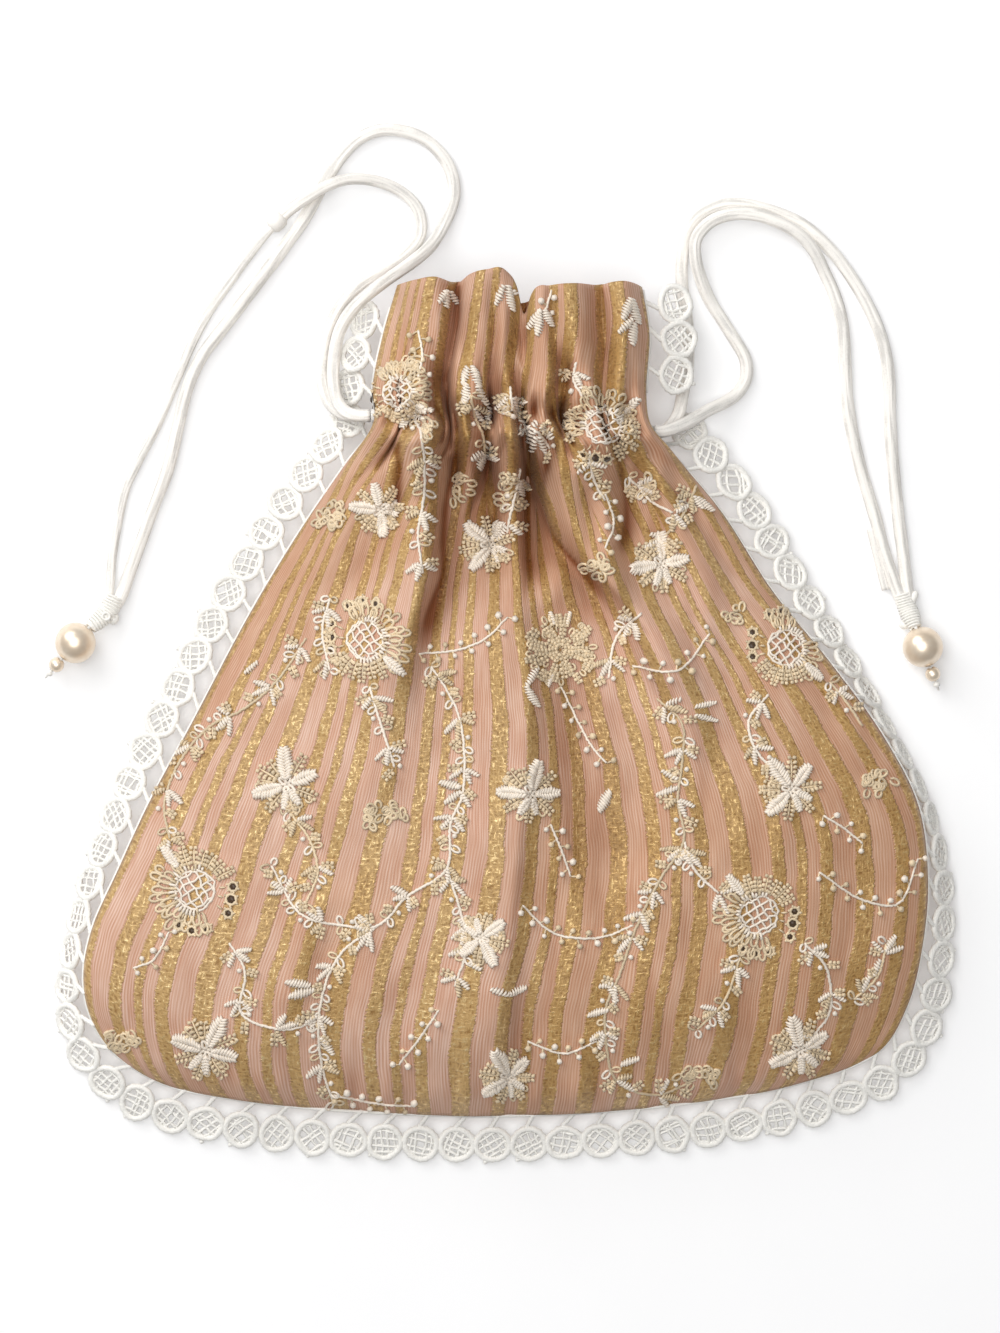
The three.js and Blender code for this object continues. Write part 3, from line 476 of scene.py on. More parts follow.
RIGHT_INNER_ROUTE = [
    (36.6, 71.4, 15.1), (39, 71.5, 14.9), (44.4, 73.6, 11), (49.8, 76.8, 6.6), (54.4, 79.2, 3.4),
    (57.8, 81.6, 1.8), (60, 85.4, 1.6), (59.8, 90.2, 1.6), (57.4, 94.8, 1.6), (54.4, 99.4, 1.6),
    (51.2, 104.4, 2), (48.8, 109.6, 3.6), (47.2, 115, 4.8), (47.4, 120.2, 4.8), (50.6, 124.2, 4.8),
    (55.4, 126.2, 4.8), (61, 126.4, 4.8), (67, 124.8, 4.9), (72.6, 121.8, 4.8), (76.8, 117.4, 3.8),
    (79.8, 111.8, 1.9), (82.4, 105.8, 1.6), (84.2, 99, 1.6), (84.9, 89.5, 1.6), (85.5, 79.5, 1.6),
    (86.9, 70.8, 1.6), (89.4, 60.5, 1.6), (92.4, 50.8, 1.6), (95, 40.8, 1.8), (98.2, 31.6, 2.4),
    (99.6, 28.4, 2.9),
]
RIGHT_OUTER_ROUTE = [
    (36.6, 71.4, 10.9), (39, 71.8, 10.6), (42.4, 75.4, 8), (44, 81.6, 4.8), (45.2, 88, 2.4),
    (45.4, 95.4, 1.6), (44.8, 102, 1.6), (44, 108.4, 1.6), (43.8, 115, 1.6), (45, 121.2, 1.6),
    (48.4, 126.2, 1.6), (53.6, 128.8, 1.6), (59.8, 129, 1.6), (67, 127.2, 1.6), (74.2, 124, 1.6),
    (79.8, 119.4, 1.6), (85.1, 112.8, 1.6), (89.3, 106.2, 1.6), (92.6, 99.5, 1.6), (94.9, 92.5, 1.6),
    (96, 84.5, 1.6), (96.2, 75.8, 1.6), (96.8, 65.8, 1.6), (98, 53.2, 1.6), (99.4, 42, 1.8),
    (100.4, 32.6, 2.4), (100.8, 28.6, 2.9),
]
# A short cut end that lies beside the right drawstring's inner strand.
SNIPPED_ROUTE = [(91.4, 47.6, 1.2), (92.8, 42, 1.2), (94.2, 36.4, 1.3), (95.3, 32.2, 1.4)]

# Hidden runs inside the neck: side, end at the slit, height of the slit.
RUNS = [("left", -1, -33.9, LEFT_SLIT_Y), ("right", 1, 36.2, RIGHT_SLIT_Y)]
RUN_FRONT_Z = 8.6
RUN_BACK_Z = 5.6
EXIT_TOP_Z = 15.1
EXIT_LOW_Z = 10.9

# Ends of the drawstrings: side, heading in the plan, middle of the pearl.
ENDS = [("left", -2.291, (-108.4, 18.8)), ("right", -1.213, (104.2, 17.8))]

# Wraps of thread round the ends, from the strands to the pearl: x, y, z, half width.
WRAPS = {
    "left": [
        (-98.7, 30.4, 2.5, 1.95), (-99.5, 28.5, 2.7, 2.1), (-100.5, 26.7, 3, 2.15),
        (-101.9, 25.2, 3.4, 1.95), (-103.3, 23.9, 3.9, 1.7), (-104.7, 22.7, 4.4, 1.3),
    ],
    "right": [
        (99.3, 31, 2.5, 1.75), (99.9, 29.2, 2.7, 1.9), (100.6, 27.2, 3, 2), (101.3, 25.4, 3.5, 1.95),
        (101.9, 23.9, 4, 1.6), (102.4, 22.7, 4.4, 1.2),
    ],
}
# Lumps of thread on the wraps: side, middle, heading in degrees, half length, half width.
LUMPS = [
    ("left", (-98.9, 24.8, 2.6), 60, 1.5, 1.25), ("right", (102, 30.2, 3), 65, 1.9, 1.05),
    ("right", (99.8, 23.4, 2.8), 200, 1.4, 1.15),
]
# A small loop of thread on the left wrap: middle, radius, points.
LOOP_MIDDLE = (-100.7, 25.5, 5.3)
LOOP_RADIUS = 0.9
LOOP_POINTS = 20

# Beads, wraps and the knot
BORE = 0.75
BORE_EDGE = 1.25
BEAD_LIP = 0.22
BEAD_STEPS = 18
BEAD_SLOPE = -0.1
WRAP_SIDES = 16
WRAP_FLAT = 0.12
WRAP_STEP = 0.0003
WRAP_TURNS = 13
WRAP_THREAD = 0.00034
WRAP_THREAD_SIDES = 6
WIND_STEPS = 16
LUMP_SIDES = 10
LUMP_PARTS = np.linspace(-0.97, 0.97, 9)
KNOT_MIDDLE = (-57.95, 124.55, 2.6)
KNOT_HEADING = -2.356
KNOT_OUTLINE = [(0, -2.1), (1.5, -2.1), (2.1, -1.4), (2.25, 0), (2.1, 1.4), (1.5, 2.1), (0, 2.1)]
# Steps round a pearl, a small pearl, a tail of thread and the knot.
PEARL_STEPS = 40
SEED_STEPS = 28
TAIL_STEPS = 10
KNOT_STEPS = 20
# Tail of thread: its radius, and its end by radius and distance past the small pearl.
TAIL_RADIUS = 0.4
TAIL_KNOT = [(0.4, 0), (0.75, 0.15), (0.92, 0.6), (0.7, 1.1), (0.3, 1.3), (0.22, 2.2), (0, 2.3)]
END_PIECES = ("wrap_core", "wrap_thread", "large_pearl", "small_pearl", "tail")
# Vertices closer than this, in metres, are one.
MERGE = 1e-6
MERGE_FINE = 1e-7

# Strands: step along in metres, sides, flatness, unevenness, rolls and creases.
CORD_STEP = 0.0007
CORD_SIDES = 20
CORD_FLAT = 0.13
CORD_UNEVEN = 0.12
ROLLS_PER_METRE = 25
CREASES_PER_METRE = 130
CREASES_ROUND = 2
ROUTE_STEPS = 12
# Bends of a hidden run: way in from the slit, then x of its shoulder, flat, turn, bend and tip.
RUN_LEVEL = 2.4
RUN_SHOULDER_X = 27
RUN_FLAT_X = 22
RUN_TURN_X = 17
RUN_BEND_X = 21
RUN_TIP_X = 22.6
RUN_BEND = 0.7

# Threads of the lace
RIM_POINTS = 36
NET_LINES = 4
NET_SPACING = 1.8
NET_PARTS = (-1, -0.6, -0.2, 0.2, 0.6, 1)
RUNG_STEPS = 9
PIPING_STEP = 1.5
RIM_SIDES = 8
# Unevenness of a ring: tone, squash, waves round it and their height, warp, plies of its rim.
RING_TONE = (0.3, 1)
RING_SQUASH = 0.07
RING_WAVES = (2, 3, 5)
RING_WAVE = 0.14
RING_WARP = 0.1
RIM_TWIST = (0.9, 1.1)
# Unevenness of its net: turn, shift, shortest reach squared, bow, waver, warp, thickness.
NET_TURN = 0.2
NET_SHIFT = 0.3
NET_SHORTEST = 0.2
NET_BOW = 0.5
NET_WAVER = 0.22
NET_WARP = 0.15
NET_SWELL = (0.75, 1.3)
# Rungs: sides, slant, reach over the rim and under the seam, plies.
RUNG_SIDES = 6
RUNG_SLANT = (1.4, 3.2)
RUNG_OVER = 0.6
RUNG_UNDER = 0.4
RUNG_PLIES = (0.85, 1.12)
PICOT_CHANCE = 0.45
PICOT_SPREAD = 0.9
# Picot: distance past the ring's edge, and share of the rung's thickness.
PICOT = [(-0.3, 1), (0.4, 0.9), (0.7, 0.35)]
PIPING_SIDES = 8
# Share of the seam that a direction is read over, and samples along a run.
LACE_NEAR = 0.0005
LACE_SAMPLES = 400
LACE_SEED = 21

# Stitches of the embroidery
STITCH_GAP = 0.7
BAR_GAP = 1.15
BLUNT = 0.8
ROPE_STEP = 0.55
VINE_STEP = 2.5
# A fan comes once in so many steps of a vine, at one of them, and a feather with a knot at another.
FAN_EVERY = 5
FAN_AT = 1
FERN_AT = 3
STEM_STEPS = 8
STEM_WAVER = 0.1
FEWEST_STITCHES = 5
FEWEST_BARS = 3
UNEVEN = (0.85, 1.15)
STITCH_POINTS = 4
RIB_POINTS = 5
# Height in metres that points are dropped on the cloth from, and how far a thread sits above it in radii.
DROP_FROM = 0.1
SUNK = 0.5
# How threads lie: rise in the middle, thickness of the ends, sides, bumps along them.
ROPE = {"lift": 0.1, "ends": 0.8, "sides": 6, "bumps": 0.16}
KNOT = {"lift": 0.15, "ends": 0.35, "sides": 6}
LOOP = {"lift": 0.2, "ends": 0.7}
NET_THREAD = {"lift": 0.3, "ends": 0.8}
NET_RIM = {"ends": 1, "closed": True, "sides": 6, "bumps": 0.15}
EYELET_RIM = {"ends": 1, "closed": True, "sides": 6, "bumps": 0.2}
# Single stitches: thickness and rise.
LEAF_STITCH = (1.1, 0.5)
PETAL_STITCH = (1.3, 0.7)
FERN_RIB_STITCH = (0.9, 0.2)
FERN_BAR = (1.35, 0.5)
EYELET_BAR = (0.95, 0.25)
EYELET_STALK = (0.8, 0.2)
EDGE_STITCH = (1.05, 0.45)
BERRY_STALK = (0.75, 0.15)
# Share of a half wave at which the outline of a leaf and of a petal starts, and how much of it they take.
LEAF_FROM = 0.12
PETAL_FROM = 0.14
BLADE_SPAN = 0.78
LEAF_SLANT = 0.07
# A petal's stitches: place of the first in steps, ends back and ahead, furthest reach, way over the rib.
PETAL_FIRST = 0.4
PETAL_BACK = 0.06
PETAL_AHEAD = 0.1
PETAL_END = 1.02
PETAL_RIB = 0.4
# A feather's bars: place of the first in steps, distance from the rib, slant, width and what swells it.
FERN_FIRST = 0.7
FERN_RIB = 0.35
FERN_SLANT = 0.5
FERN_WIDTH = (0.62, 0.38)
# Knots: half length, points along it, thickness. Loops: opening at the root, points, thickness.
KNOT_HALF = 0.42
KNOT_PARTS = (-1, -0.4, 0.4, 1)
KNOT_THICK = 2
LOOP_OPEN = 0.3
LOOP_STEPS = 9
LOOP_THICK = 0.95
# Eyelets: points, radius of the stitched ring, reach of the bars, and the levels in metres of the dark disc of painted
# shade in the middle.
EYELET_POINTS = 12
EYELET_RING = 1.15
EYELET_REACH = (1.2, 1.85)
HOLE_LEVELS = (0, 0.00008, 0.00016)
HOLE_SIDES = 10
# Loops strewn round the motifs: length and width.
LOOP_LONG = (1.6, 2.6)
LOOP_WIDE = 1.4
# Patches: width and thickness of their loops, and how fast the loops turn.
PATCH_LOOP = 1.5
PATCH_THICK = 1.1
PATCH_TURN = 7
# Sprigs: thickness of the stem, distance between berries, reach aside and ahead, white share, size.
SPRIG_THICK = 0.9
BERRY_STEP = 2.1
BERRY_ASIDE = (1.3, 2)
BERRY_AHEAD = 0.7
BERRY_WHITE = 0.55
BERRY_SIZE = (0.95, 1.35)
# Vines: thickness of the stem, share of white stems and leaves, and the leaves of a fan by lean and length.
VINE_THICK = 1.05
VINE_WHITE = 0.7
FAN_LEAVES = [(22, 4.6), (62, 4.2), (-55, 3.8)]
FAN_LEAF_LONG = (0.8, 1.15)
FAN_LEAF_WIDE = (1.4, 2)
FAN_OUT = 0.5
# Feathers of a vine, at a fan and between fans: lean, length, width. Then their distance out, and a knot's.
FAN_FERN = (-88, (2.6, 3.8), 2.1)
STEM_FERN = (58, (2.2, 3.4), 2)
FERN_OUT = 0.4
VINE_KNOT = 1.3
# Loops of a vine: chance, distance out, then lean, length, width, thread and thickness of both.
VINE_LOOP_CHANCE = 0.4
VINE_LOOP_OUT = 0.3
VINE_LOOPS = [(60, (1.8, 2.6), 1.4, "white", 1), (-75, (1.6, 2.4), 1.3, "beige", LOOP_THICK)]

# Petals and feathers of a lily: angle, length, width.
LILY_PETALS = [(96, 8, 4.6), (196, 7.4, 4.2), (22, 6.6, 3.8), (262, 4.6, 2.5), (304, 4.4, 2.5)]
LILY_FERNS = [
    (150, 6, 3.2), (128, 5, 2.6), (60, 6.2, 2.8), (232, 5.6, 3), (338, 5.6, 2.8),
    (284, 5.4, 2.6), (170, 5, 2.4),
]
LILY_PETAL_OUT = 1.4
LILY_FERN_OUT = 2.2
# Heart of a lily: angles of its loops, and their length, width, thread and thickness.
HEART_ANGLES = range(20, 380, 60)
HEART_LOOP = (2.6, 1.1, "white", 1.2)
# Loops strewn round a lily: number and distance out.
LILY_LOOPS = 12
LILY_LOOP_OUT = (3.2, 6)
# Rings of feathers of a bush: distance out, length, number.
BUSH_RINGS = [(0.5, 4.4, 9), (4, 4.6, 13), (7.4, 3.8, 16)]
BUSH_SWAY = 14
BUSH_LONG = (0.75, 1.2)
BUSH_OUT = (0.85, 1.1)
BUSH_FERN_WIDE = 2
# Loops of a bush: turn and distance from the feather, length.
BUSH_LOOP = (13, 1.5, (1.8, 2.8))
# Leaves of a bush: angles, distance out, length and width.
BUSH_LEAF_ANGLES = (75, 105, 250)
BUSH_LEAF_OUT = 8
BUSH_LEAF = (4.2, 1.8)
# Net of a net flower: radius, turns and offsets of its threads, their waver and steps, rim and thickness.
NET_RADIUS = 5
NET_TURNS = (30, 118)
NET_OFFS = (-4, -2, 0, 2, 4)
NET_STRAY = 0.4
NET_STEPS = 9
NET_RIM_POINTS = 32
NET_RIM_UNEVEN = (0.93, 1.07)
NET_THICK = 0.9
# Short stitches round the net: angles, inner and outer ends as shares of its radius, share of white.
EDGE_ANGLES = range(70, 285, 9)
EDGE_INNER = (0.85, 1)
EDGE_OUTER = (1.15, 1.45)
EDGE_WHITE = 0.6
# Loops round the net: rings by distance out and length, angles, unevenness, width and thickness.
NET_LOOPS = [(5.8, 3.4), (8.4, 2.8)]
NET_LOOP_ANGLES = range(120, 300, 14)
NET_LOOP_SWAY = 5
NET_LOOP_OUT = (0.92, 1.08)
NET_LOOP_LONG = (0.75, 1.2)
NET_LOOP_WIDE = 1.7
NET_LOOP_THICK = 1.1
# Feathers on the net's other side: angles, distance out, length, width.
NET_FERN_ANGLES = range(28, 126, 16)
NET_FERN_OUT = 5.6
NET_FERN_LONG = (4, 5.4)
NET_FERN_WIDE = 2.3
# One petal beside the net: angle, distance out, length, width.
NET_PETAL = (128, 7, 6.2, 2.9)
# Stalk of an eyelet: where it starts, and its end as a share of the eyelet's radius.
STALK_FROM = -3.6
STALK_TO = -1.8
# Eyelets of a net flower: angle, distance out, radius.
NET_EYELETS = [
    (5, 9.5, 1), (-14.5, 9.3, 1.15), (-35, 10.1, 0.95), (-73, 10, 1), (-95, 10.2, 0.95), (-115, 9.7, 0.85),
]

# Places of the motifs on the front, in the plan: x, y, turn, scale.
NET_FLOWERS = [
    (-77.5, -42.5, 0, 1), (-35, 19.5, 190, 0.95), (62, -48.5, 0, 0.95), (69, 17.5, 190, 0.9),
    (23.6, 72, -90, 0.85), (-27, 80.5, 200, 0.7),
]
LILIES = [
    (-54.6, -16.5, 0, 1), (70, -17.5, 30, 0.95), (38, 38, -8, 0.9), (-75, -82.5, -35, 1),
    (73, -82.5, 10, 0.95), (-31.5, 52, 80, 0.8), (0, -89, 20, 0.85), (5.4, -18.5, -20, 0.9),
    (-4.8, 43, 40, 0.85), (-6.5, -54, 200, 0.8),
]
BUSHES = [(13, 17, 0, 0.8)]
# Patches of loops: x, y, width, height, number of loops.
CLUSTERS = [
    (-30.5, -23.5, 10, 6, 26), (91.5, -15.5, 7, 6, 20), (-96.5, -80, 8, 7, 24), (-43, 51, 9, 6, 24),
    (48, -89, 10, 4.5, 24), (22.6, 37.5, 6, 5, 16), (57, 26, 6, 4, 8), (-11.6, 57, 5, 9, 12),
    (0.4, 56, 4, 7, 10), (33, 57, 7, 6, 10), (-20.6, 72, 5, 5, 8), (-24, 88, 6, 5, 10), (1, 78, 5, 4, 8),
]
# Lone leaves and leaf pairs: x, y, turn, length, width.
LEAVES = [
    (-11.5, -17, 165, 5.5, 2.4), (-11.5, -18, 215, 5, 2.2), (-11.5, -18, 300, 4.5, 2),
    (-49, -66, 170, 6, 2.6), (-48, -67, 195, 6.5, 2.8), (-46.5, -79, 305, 5.5, 2.2), (4.5, 8, 60, 5.5, 2),
    (4.5, 8, -60, 6, 2), (0, -68, 20, 5, 2), (0, -68, 160, 4.5, 2), (28, -86, 20, 5, 2),
    (25, -72, 195, 5.5, 2), (25, -66, 300, 4.5, 1.8), (33, -48, 200, 4.5, 2), (33, -48, 290, 5, 2),
    (42, -17, 200, 5.5, 2), (42, -15, 150, 4.5, 1.8), (46, 3, 10, 5.5, 1.6), (46, 1, -15, 6, 1.6),
    (-1.5, -50, 250, 4.5, 2), (-9, -52, 140, 4, 2.2), (-11, -57, 200, 3.8, 2), (-9.5, -60, 330, 3.6, 2),
    (22.5, -23, 60, 6, 2.8), (-15, 106, 235, 4, 1.8), (-15.4, 106, 270, 4.4, 1.8),
    (-14.6, 106, 305, 3.8, 1.6), (-1, 107, 250, 5, 2), (0, 107, 280, 6.4, 2.2), (1, 106, 310, 4.4, 1.8),
    (8.4, 101, 235, 5.4, 2.2), (8, 101, 265, 6.4, 2.4), (9, 101, 295, 4.6, 2), (30.4, 104, 250, 5.6, 2.4),
    (30.6, 104, 285, 6.4, 2.6), (31.2, 98, 265, 5.6, 2.4), (30.6, 99, 230, 4.6, 2), (-9.6, 87, 250, 5, 2.2),
    (-8.6, 87, 285, 5.4, 2.2), (-10, 83, 265, 5.4, 2.4), (-7.6, 82, 300, 4.6, 2), (-5, 73, 85, 4.5, 2),
    (7, 73, 250, 4.6, 2), (6, 72, 200, 4, 1.8), (8, 72, 320, 4.2, 1.8), (47, 55, 320, 5.5, 2),
    (91, -64, 70, 4.5, 1.8), (-82, 6, 60, 4, 1.6), (-62, 14, 220, 4.5, 1.6),
]
# Routes of the leafy vines and of the sprigs of berries in the plan.
VINES = [
    [(-19, 13), (-15, 7), (-11.5, -1), (-11, -18), (-14, -26), (-15, -37), (-25, -44), (-32, -51),
     (-41.5, -51), (-51.5, -48), (-58.5, -36.5)],
    [(-32, -51), (-41.5, -58.5), (-46.5, -71), (-46.5, -85), (-43.5, -96)],
    [(-69, -55.5), (-65, -62.5), (-66, -73), (-55.5, -77), (-47.5, -75)],
    [(37, 5), (43, -1), (43, -11.5), (42, -20), (43.5, -30), (38, -39), (32, -51), (28, -62.5), (24.5, -71),
     (24.5, -81), (27, -90), (37, -94), (47, -90)],
    [(43.5, -30), (46, -37), (52, -43)],
    [(73.5, -55.5), (79, -62), (80, -73), (76, -79)],
    [(57.5, -59), (53.5, -70), (47, -77)],
    [(64.5, 6), (59.5, -1), (62.5, -9.5), (68, -13)],
    [(80, 9), (84, 4), (88, -2)],
    [(-50, 20), (-57.5, 9), (-66, 2), (-74, -2), (-82, -11.5), (-85.5, -22), (-84, -30)],
    [(-15, -37), (-12, -46), (-10, -56), (-13, -66)],
    [(33, 26), (27, 20), (25, 10)],
    [(47, 58), (43, 50), (39, 45)],
    [(-54, -23), (-49, -30), (-47, -38), (-50, -46)],
    [(-34, 8), (-31, -2), (-28, -12)],
    [(-26, 78), (-22, 72), (-20.6, 64), (-20.8, 54), (-22, 46), (-21, 36)],
    [(-9, 80), (-8.4, 75), (-6.4, 70), (-5.8, 64)],
    [(0.4, 82), (1.4, 76), (6.8, 71), (10.6, 67)],
    [(17, 88), (16.6, 83), (18.4, 79)],
    [(20, 66), (21, 60), (24, 54)],
    [(30, 60), (36, 54), (41, 51)],
    [(3, 62), (1, 52), (0, 46)],
    [(-44, 30), (-46, 22), (-44, 12)],
    [(86, -70), (92, -64), (94, -56)],
]
SPRIGS = [
    [(-22, 16), (-12, 17), (-5, 20), (0, 25)],
    [(3.5, -46), (11.5, -53), (23.5, -54), (31, -51)],
    [(77, -38), (88, -45), (97, -46), (102, -35)],
    [(31, 13), (42, 12), (50, 21)],
    [(10.5, -26), (13, -32), (15.5, -39)],
    [(78, -24), (83, -27), (88, -31)],
    [(-17, -72), (-21, -78), (-27, -86)],
    [(-93, -62), (-88, -60), (-84, -53)],
    [(13, 8), (17, 0), (21, -7), (24.5, -11)],
    [(-43.5, -94), (-34, -96), (-24, -97)],
    [(5, -80), (14, -83), (22, -80)],
    [(24, 56), (26, 48), (24, 42)],
    [(9, 100), (9.8, 103), (10.8, 106)],
    [(-22, 96), (-21, 90), (-22, 84)],
]
# Threads of the two panels: share of the thread's radius, share of its lift, seed.
FRONT_WORK = (1, 1, 4)
BACK_WORK = (0.5, 0.3, 9)
# Dark shade of each thread as a share of its colour.
THREAD_DARK = {"white": 0.86, "beige": 0.6, "hole": 0.6}
# Each panel as it was cut: width and length in metres, and its area without the slanted corners.
CUT = (0.21, 0.225)
CUT_AREA = 0.04


def size(name, description, default):
    """A length that a user may change."""
    return FloatProperty(
        name=name, description=description, default=default, min=0, precision=5, unit="LENGTH"
    )


def share(name, description, default):
    """A part of one that a user may change."""
    return FloatProperty(
        name=name, description=description, default=default, min=0, max=1, subtype="FACTOR"
    )


def colour(name, description, default):
    """A colour that a user may change."""
    return FloatVectorProperty(
        name=name, description=description, default=default, min=0, max=1, size=3, subtype="COLOR"
    )


class ClothSettings(bpy.types.PropertyGroup):
    """Sizes and colours of the striped cloth."""

    thick: size("Thickness", "Thickness of the tissue cloth", 0.0005)
    pink_pale: colour("Pale pink", "Pale pin lines of the pink stripes", (0.72, 0.50, 0.40))
    pink: colour("Pink", "Body of the pink stripes", (0.605, 0.37, 0.265))
    pink_shade: colour("Pink shade", "Dark threads of the pink stripes", (0.52, 0.275, 0.18))
    gold: colour("Gold", "Body of the gold stripes", (0.55, 0.35, 0.145))
    gold_shade: colour("Gold shade", "Dark specks of the gold stripes", (0.32, 0.175, 0.06))
    gold_glint: colour("Gold glint", "Bright flecks of the gold stripes", (0.86, 0.66, 0.35))
    tan: colour("Tan", "Tone that the cloth fades towards in places", (0.9, 0.84, 0.74))
    # Painted shade: this filter darkens the cloth's colour in its hollows, in its creases and inside the mouth.
    painted_fold_shade: colour("Fold", "Filter that darkens the cloth in the hollows of its folds", (0.44, 0.26, 0.15))


class ThreadSettings(bpy.types.PropertyGroup):
    """Sizes and colours of the embroidery."""

    radius: size("Thread radius", "Radius of an embroidery thread", 0.00037)
    white: colour("White thread", "Colour of the white thread", (0.92, 0.82, 0.70))
    beige: colour("Beige thread", "Colour of the beige thread", (0.89, 0.71, 0.47))
    # Painted shade: the dark colour of the discs laid in the eyelets, where the inside of the pouch is in shade.
    hole: colour("Eyelet hole", "Colour inside the stitched eyelets", (0.07, 0.035, 0.014))


class LaceSettings(bpy.types.PropertyGroup):
    """Sizes and colour of the ring lace."""

    rim: size("Rim radius", "Radius of a ring's corded rim", 0.0008)
    net: size("Net radius", "Radius of the net's threads", 0.0004)
    rung: size("Rung radius", "Radius of the rungs that tie the rings to the seam", 0.0006)
    piping: size("Piping radius", "Radius of the piping along the seam", 0.00045)
    cotton: colour("Cotton", "Colour of the lace", (0.95, 0.93, 0.88))


class CordSettings(bpy.types.PropertyGroup):
    """Sizes and colour of the drawstrings."""

    radius: size("Cord radius", "Radius of a drawstring", 0.00142)
    slim_radius: size("Slim cord radius", "Radius of the strand before its knot", 0.00128)
    thin_radius: size("Thin cord radius", "Radius of the strand beyond its knot", 0.00105)
    cream: colour("Cord colour", "Colour of the drawstrings", (0.95, 0.915, 0.86))


class BeadSettings(bpy.types.PropertyGroup):
    """Sizes and colour of the beads."""

    pearl: size("Pearl radius", "Radius of the large pearl", 0.0051)
    seed: size("Seed radius", "Radius of the small pearl", 0.0019)
    nacre: colour("Pearl colour", "Colour of the pearls", (0.93, 0.80, 0.64))


class StageSettings(bpy.types.PropertyGroup):
    """Camera, lights and floor."""

    lens: FloatProperty(name="Lens", description="Focal length in millimetres", default=150, min=1)
    floor: size("Floor width", "Width of the floor", 6)
    power: FloatProperty(
        name="Power", description="Power of the soft lights together", default=36, unit="POWER"
    )
    sky: FloatProperty(name="Sky", description="Strength of the even light all round", default=0.15, min=0)
    glow: FloatProperty(name="Floor glow", description="Light that the paper adds", default=0.2, min=0)


SETTINGS = {
    "pouch_cloth": ClothSettings,
    "pouch_thread": ThreadSettings,
    "pouch_lace": LaceSettings,
    "pouch_cord": CordSettings,
    "pouch_bead": BeadSettings,
    "pouch_stage": StageSettings,
}


class Shade:
    """A socket of a material's nodes, which sums and products can be written with."""

    def __init__(self, tree, socket=None):
        self.tree = tree
        self.socket = socket

    def node(self, kind, settings=None, inputs=None, output=0):
        """Adds a node: its settings first, then its sockets' values or links."""
        node = self.tree.nodes.new("ShaderNode" + kind)
        for name, value in (settings or {}).items():
            if name == "stops":
                self.set_stops(node.color_ramp.elements, value)
            else:
                setattr(node, name, value)
        for name, value in (inputs or {}).items():
            if isinstance(value, Shade):
                self.tree.links.new(value.socket, node.inputs[name])
            else:
                node.inputs[name].default_value = value
        return Shade(self.tree, node.outputs[output])

    @staticmethod
    def set_stops(elements, stops):
        """Sets a ramp's stops from pairs of place and colour."""
        while len(elements) < len(stops):
            elements.new(1)
        for element, (place, tone) in zip(elements, stops):
            element.position = place
            element.color = (*tone, 1)

    def maths(self, operation, first, second=0.0):
        return self.node("Math", {"operation": operation}, {0: first, 1: second})

    def __add__(self, other):
        return self.maths("ADD", self, other)

    __radd__ = __add__

    def __sub__(self, other):
        return self.maths("SUBTRACT", self, other)

    def __rsub__(self, other):
        return self.maths("SUBTRACT", other, self)

    def __mul__(self, other):
        return self.maths("MULTIPLY", self, other)

    __rmul__ = __mul__

    def __abs__(self):
        return self.maths("ABSOLUTE", self)

    def blend(self, first, second):
        """A colour from first to second, by this value."""
        opaque = [tone if isinstance(tone, Shade) else (*tone, 1) for tone in (first, second)]
        return self.node("Mix", {"data_type": "RGBA"}, {0: self, 6: opaque[0], 7: opaque[1]}, 2)

    def tint(self, tone, pane):
        """A colour seen through a coloured pane, by this value."""
        settings = {"data_type": "RGBA", "blend_type": "MULTIPLY"}
        return self.node("Mix", settings, {0: self, 6: tone, 7: (*pane, 1)}, 2)

    def ease(self, low, high):
        """This value eased from 0 at low to 1 at high."""
        ends = {"Value": self, "From Min": low, "From Max": high}
        return self.node("MapRange", {"interpolation_type": "SMOOTHSTEP"}, ends)


class Finish:
    """A material with its shader and the sockets that its patterns start from."""

    def __init__(self, name, constants):
        self.material = bpy.data.materials.new(name)
        self.material.use_nodes = True
        self.tree = self.material.node_tree
        self.shader = self.tree.nodes["Principled BSDF"]
        self.start = Shade(self.tree)
        for socket, value in constants.items():
            self.shader.inputs[socket].default_value = value

    def feed(self, socket, shade):
        self.tree.links.new(shade.socket, self.shader.inputs[socket])

    def bump(self, height, strength, distance):
        self.feed(
            "Normal",
            self.start.node("Bump", None, {"Height": height, "Strength": strength, "Distance": distance}),
        )

    def place(self, *scale):
        """Object coordinates times a scale."""
        coords = self.start.node("TexCoord", None, None, "Object")
        return self.start.node("Mapping", None, {"Vector": coords, "Scale": scale})

    def weave(self, *scale):
        """The piece's own UV map times a scale."""
        coords = self.start.node("UVMap", {"uv_map": UV_NAME})
        return self.start.node("Mapping", None, {"Vector": coords, "Scale": (*scale, 1)})

    def speckle(self, vector, detail=2.0, scale=1.0):
        return self.start.node("TexNoise", None, {"Vector": vector, "Scale": scale, "Detail": detail})


def stripe_stops():
    """Stops of a ramp over one repeat of the stripes: 0 on pink, 1 on gold."""
    stops = [(0, (0, 0, 0))]
    for index, edge in enumerate(np.cumsum(STRIPES) / sum(STRIPES)):
        before, after = ((1, 1, 1), (0, 0, 0)) if index % 2 else ((0, 0, 0), (1, 1, 1))
        stops += [(edge - STRIPE_SOFT, before), (min(1, edge + STRIPE_SOFT), after)]
    return stops


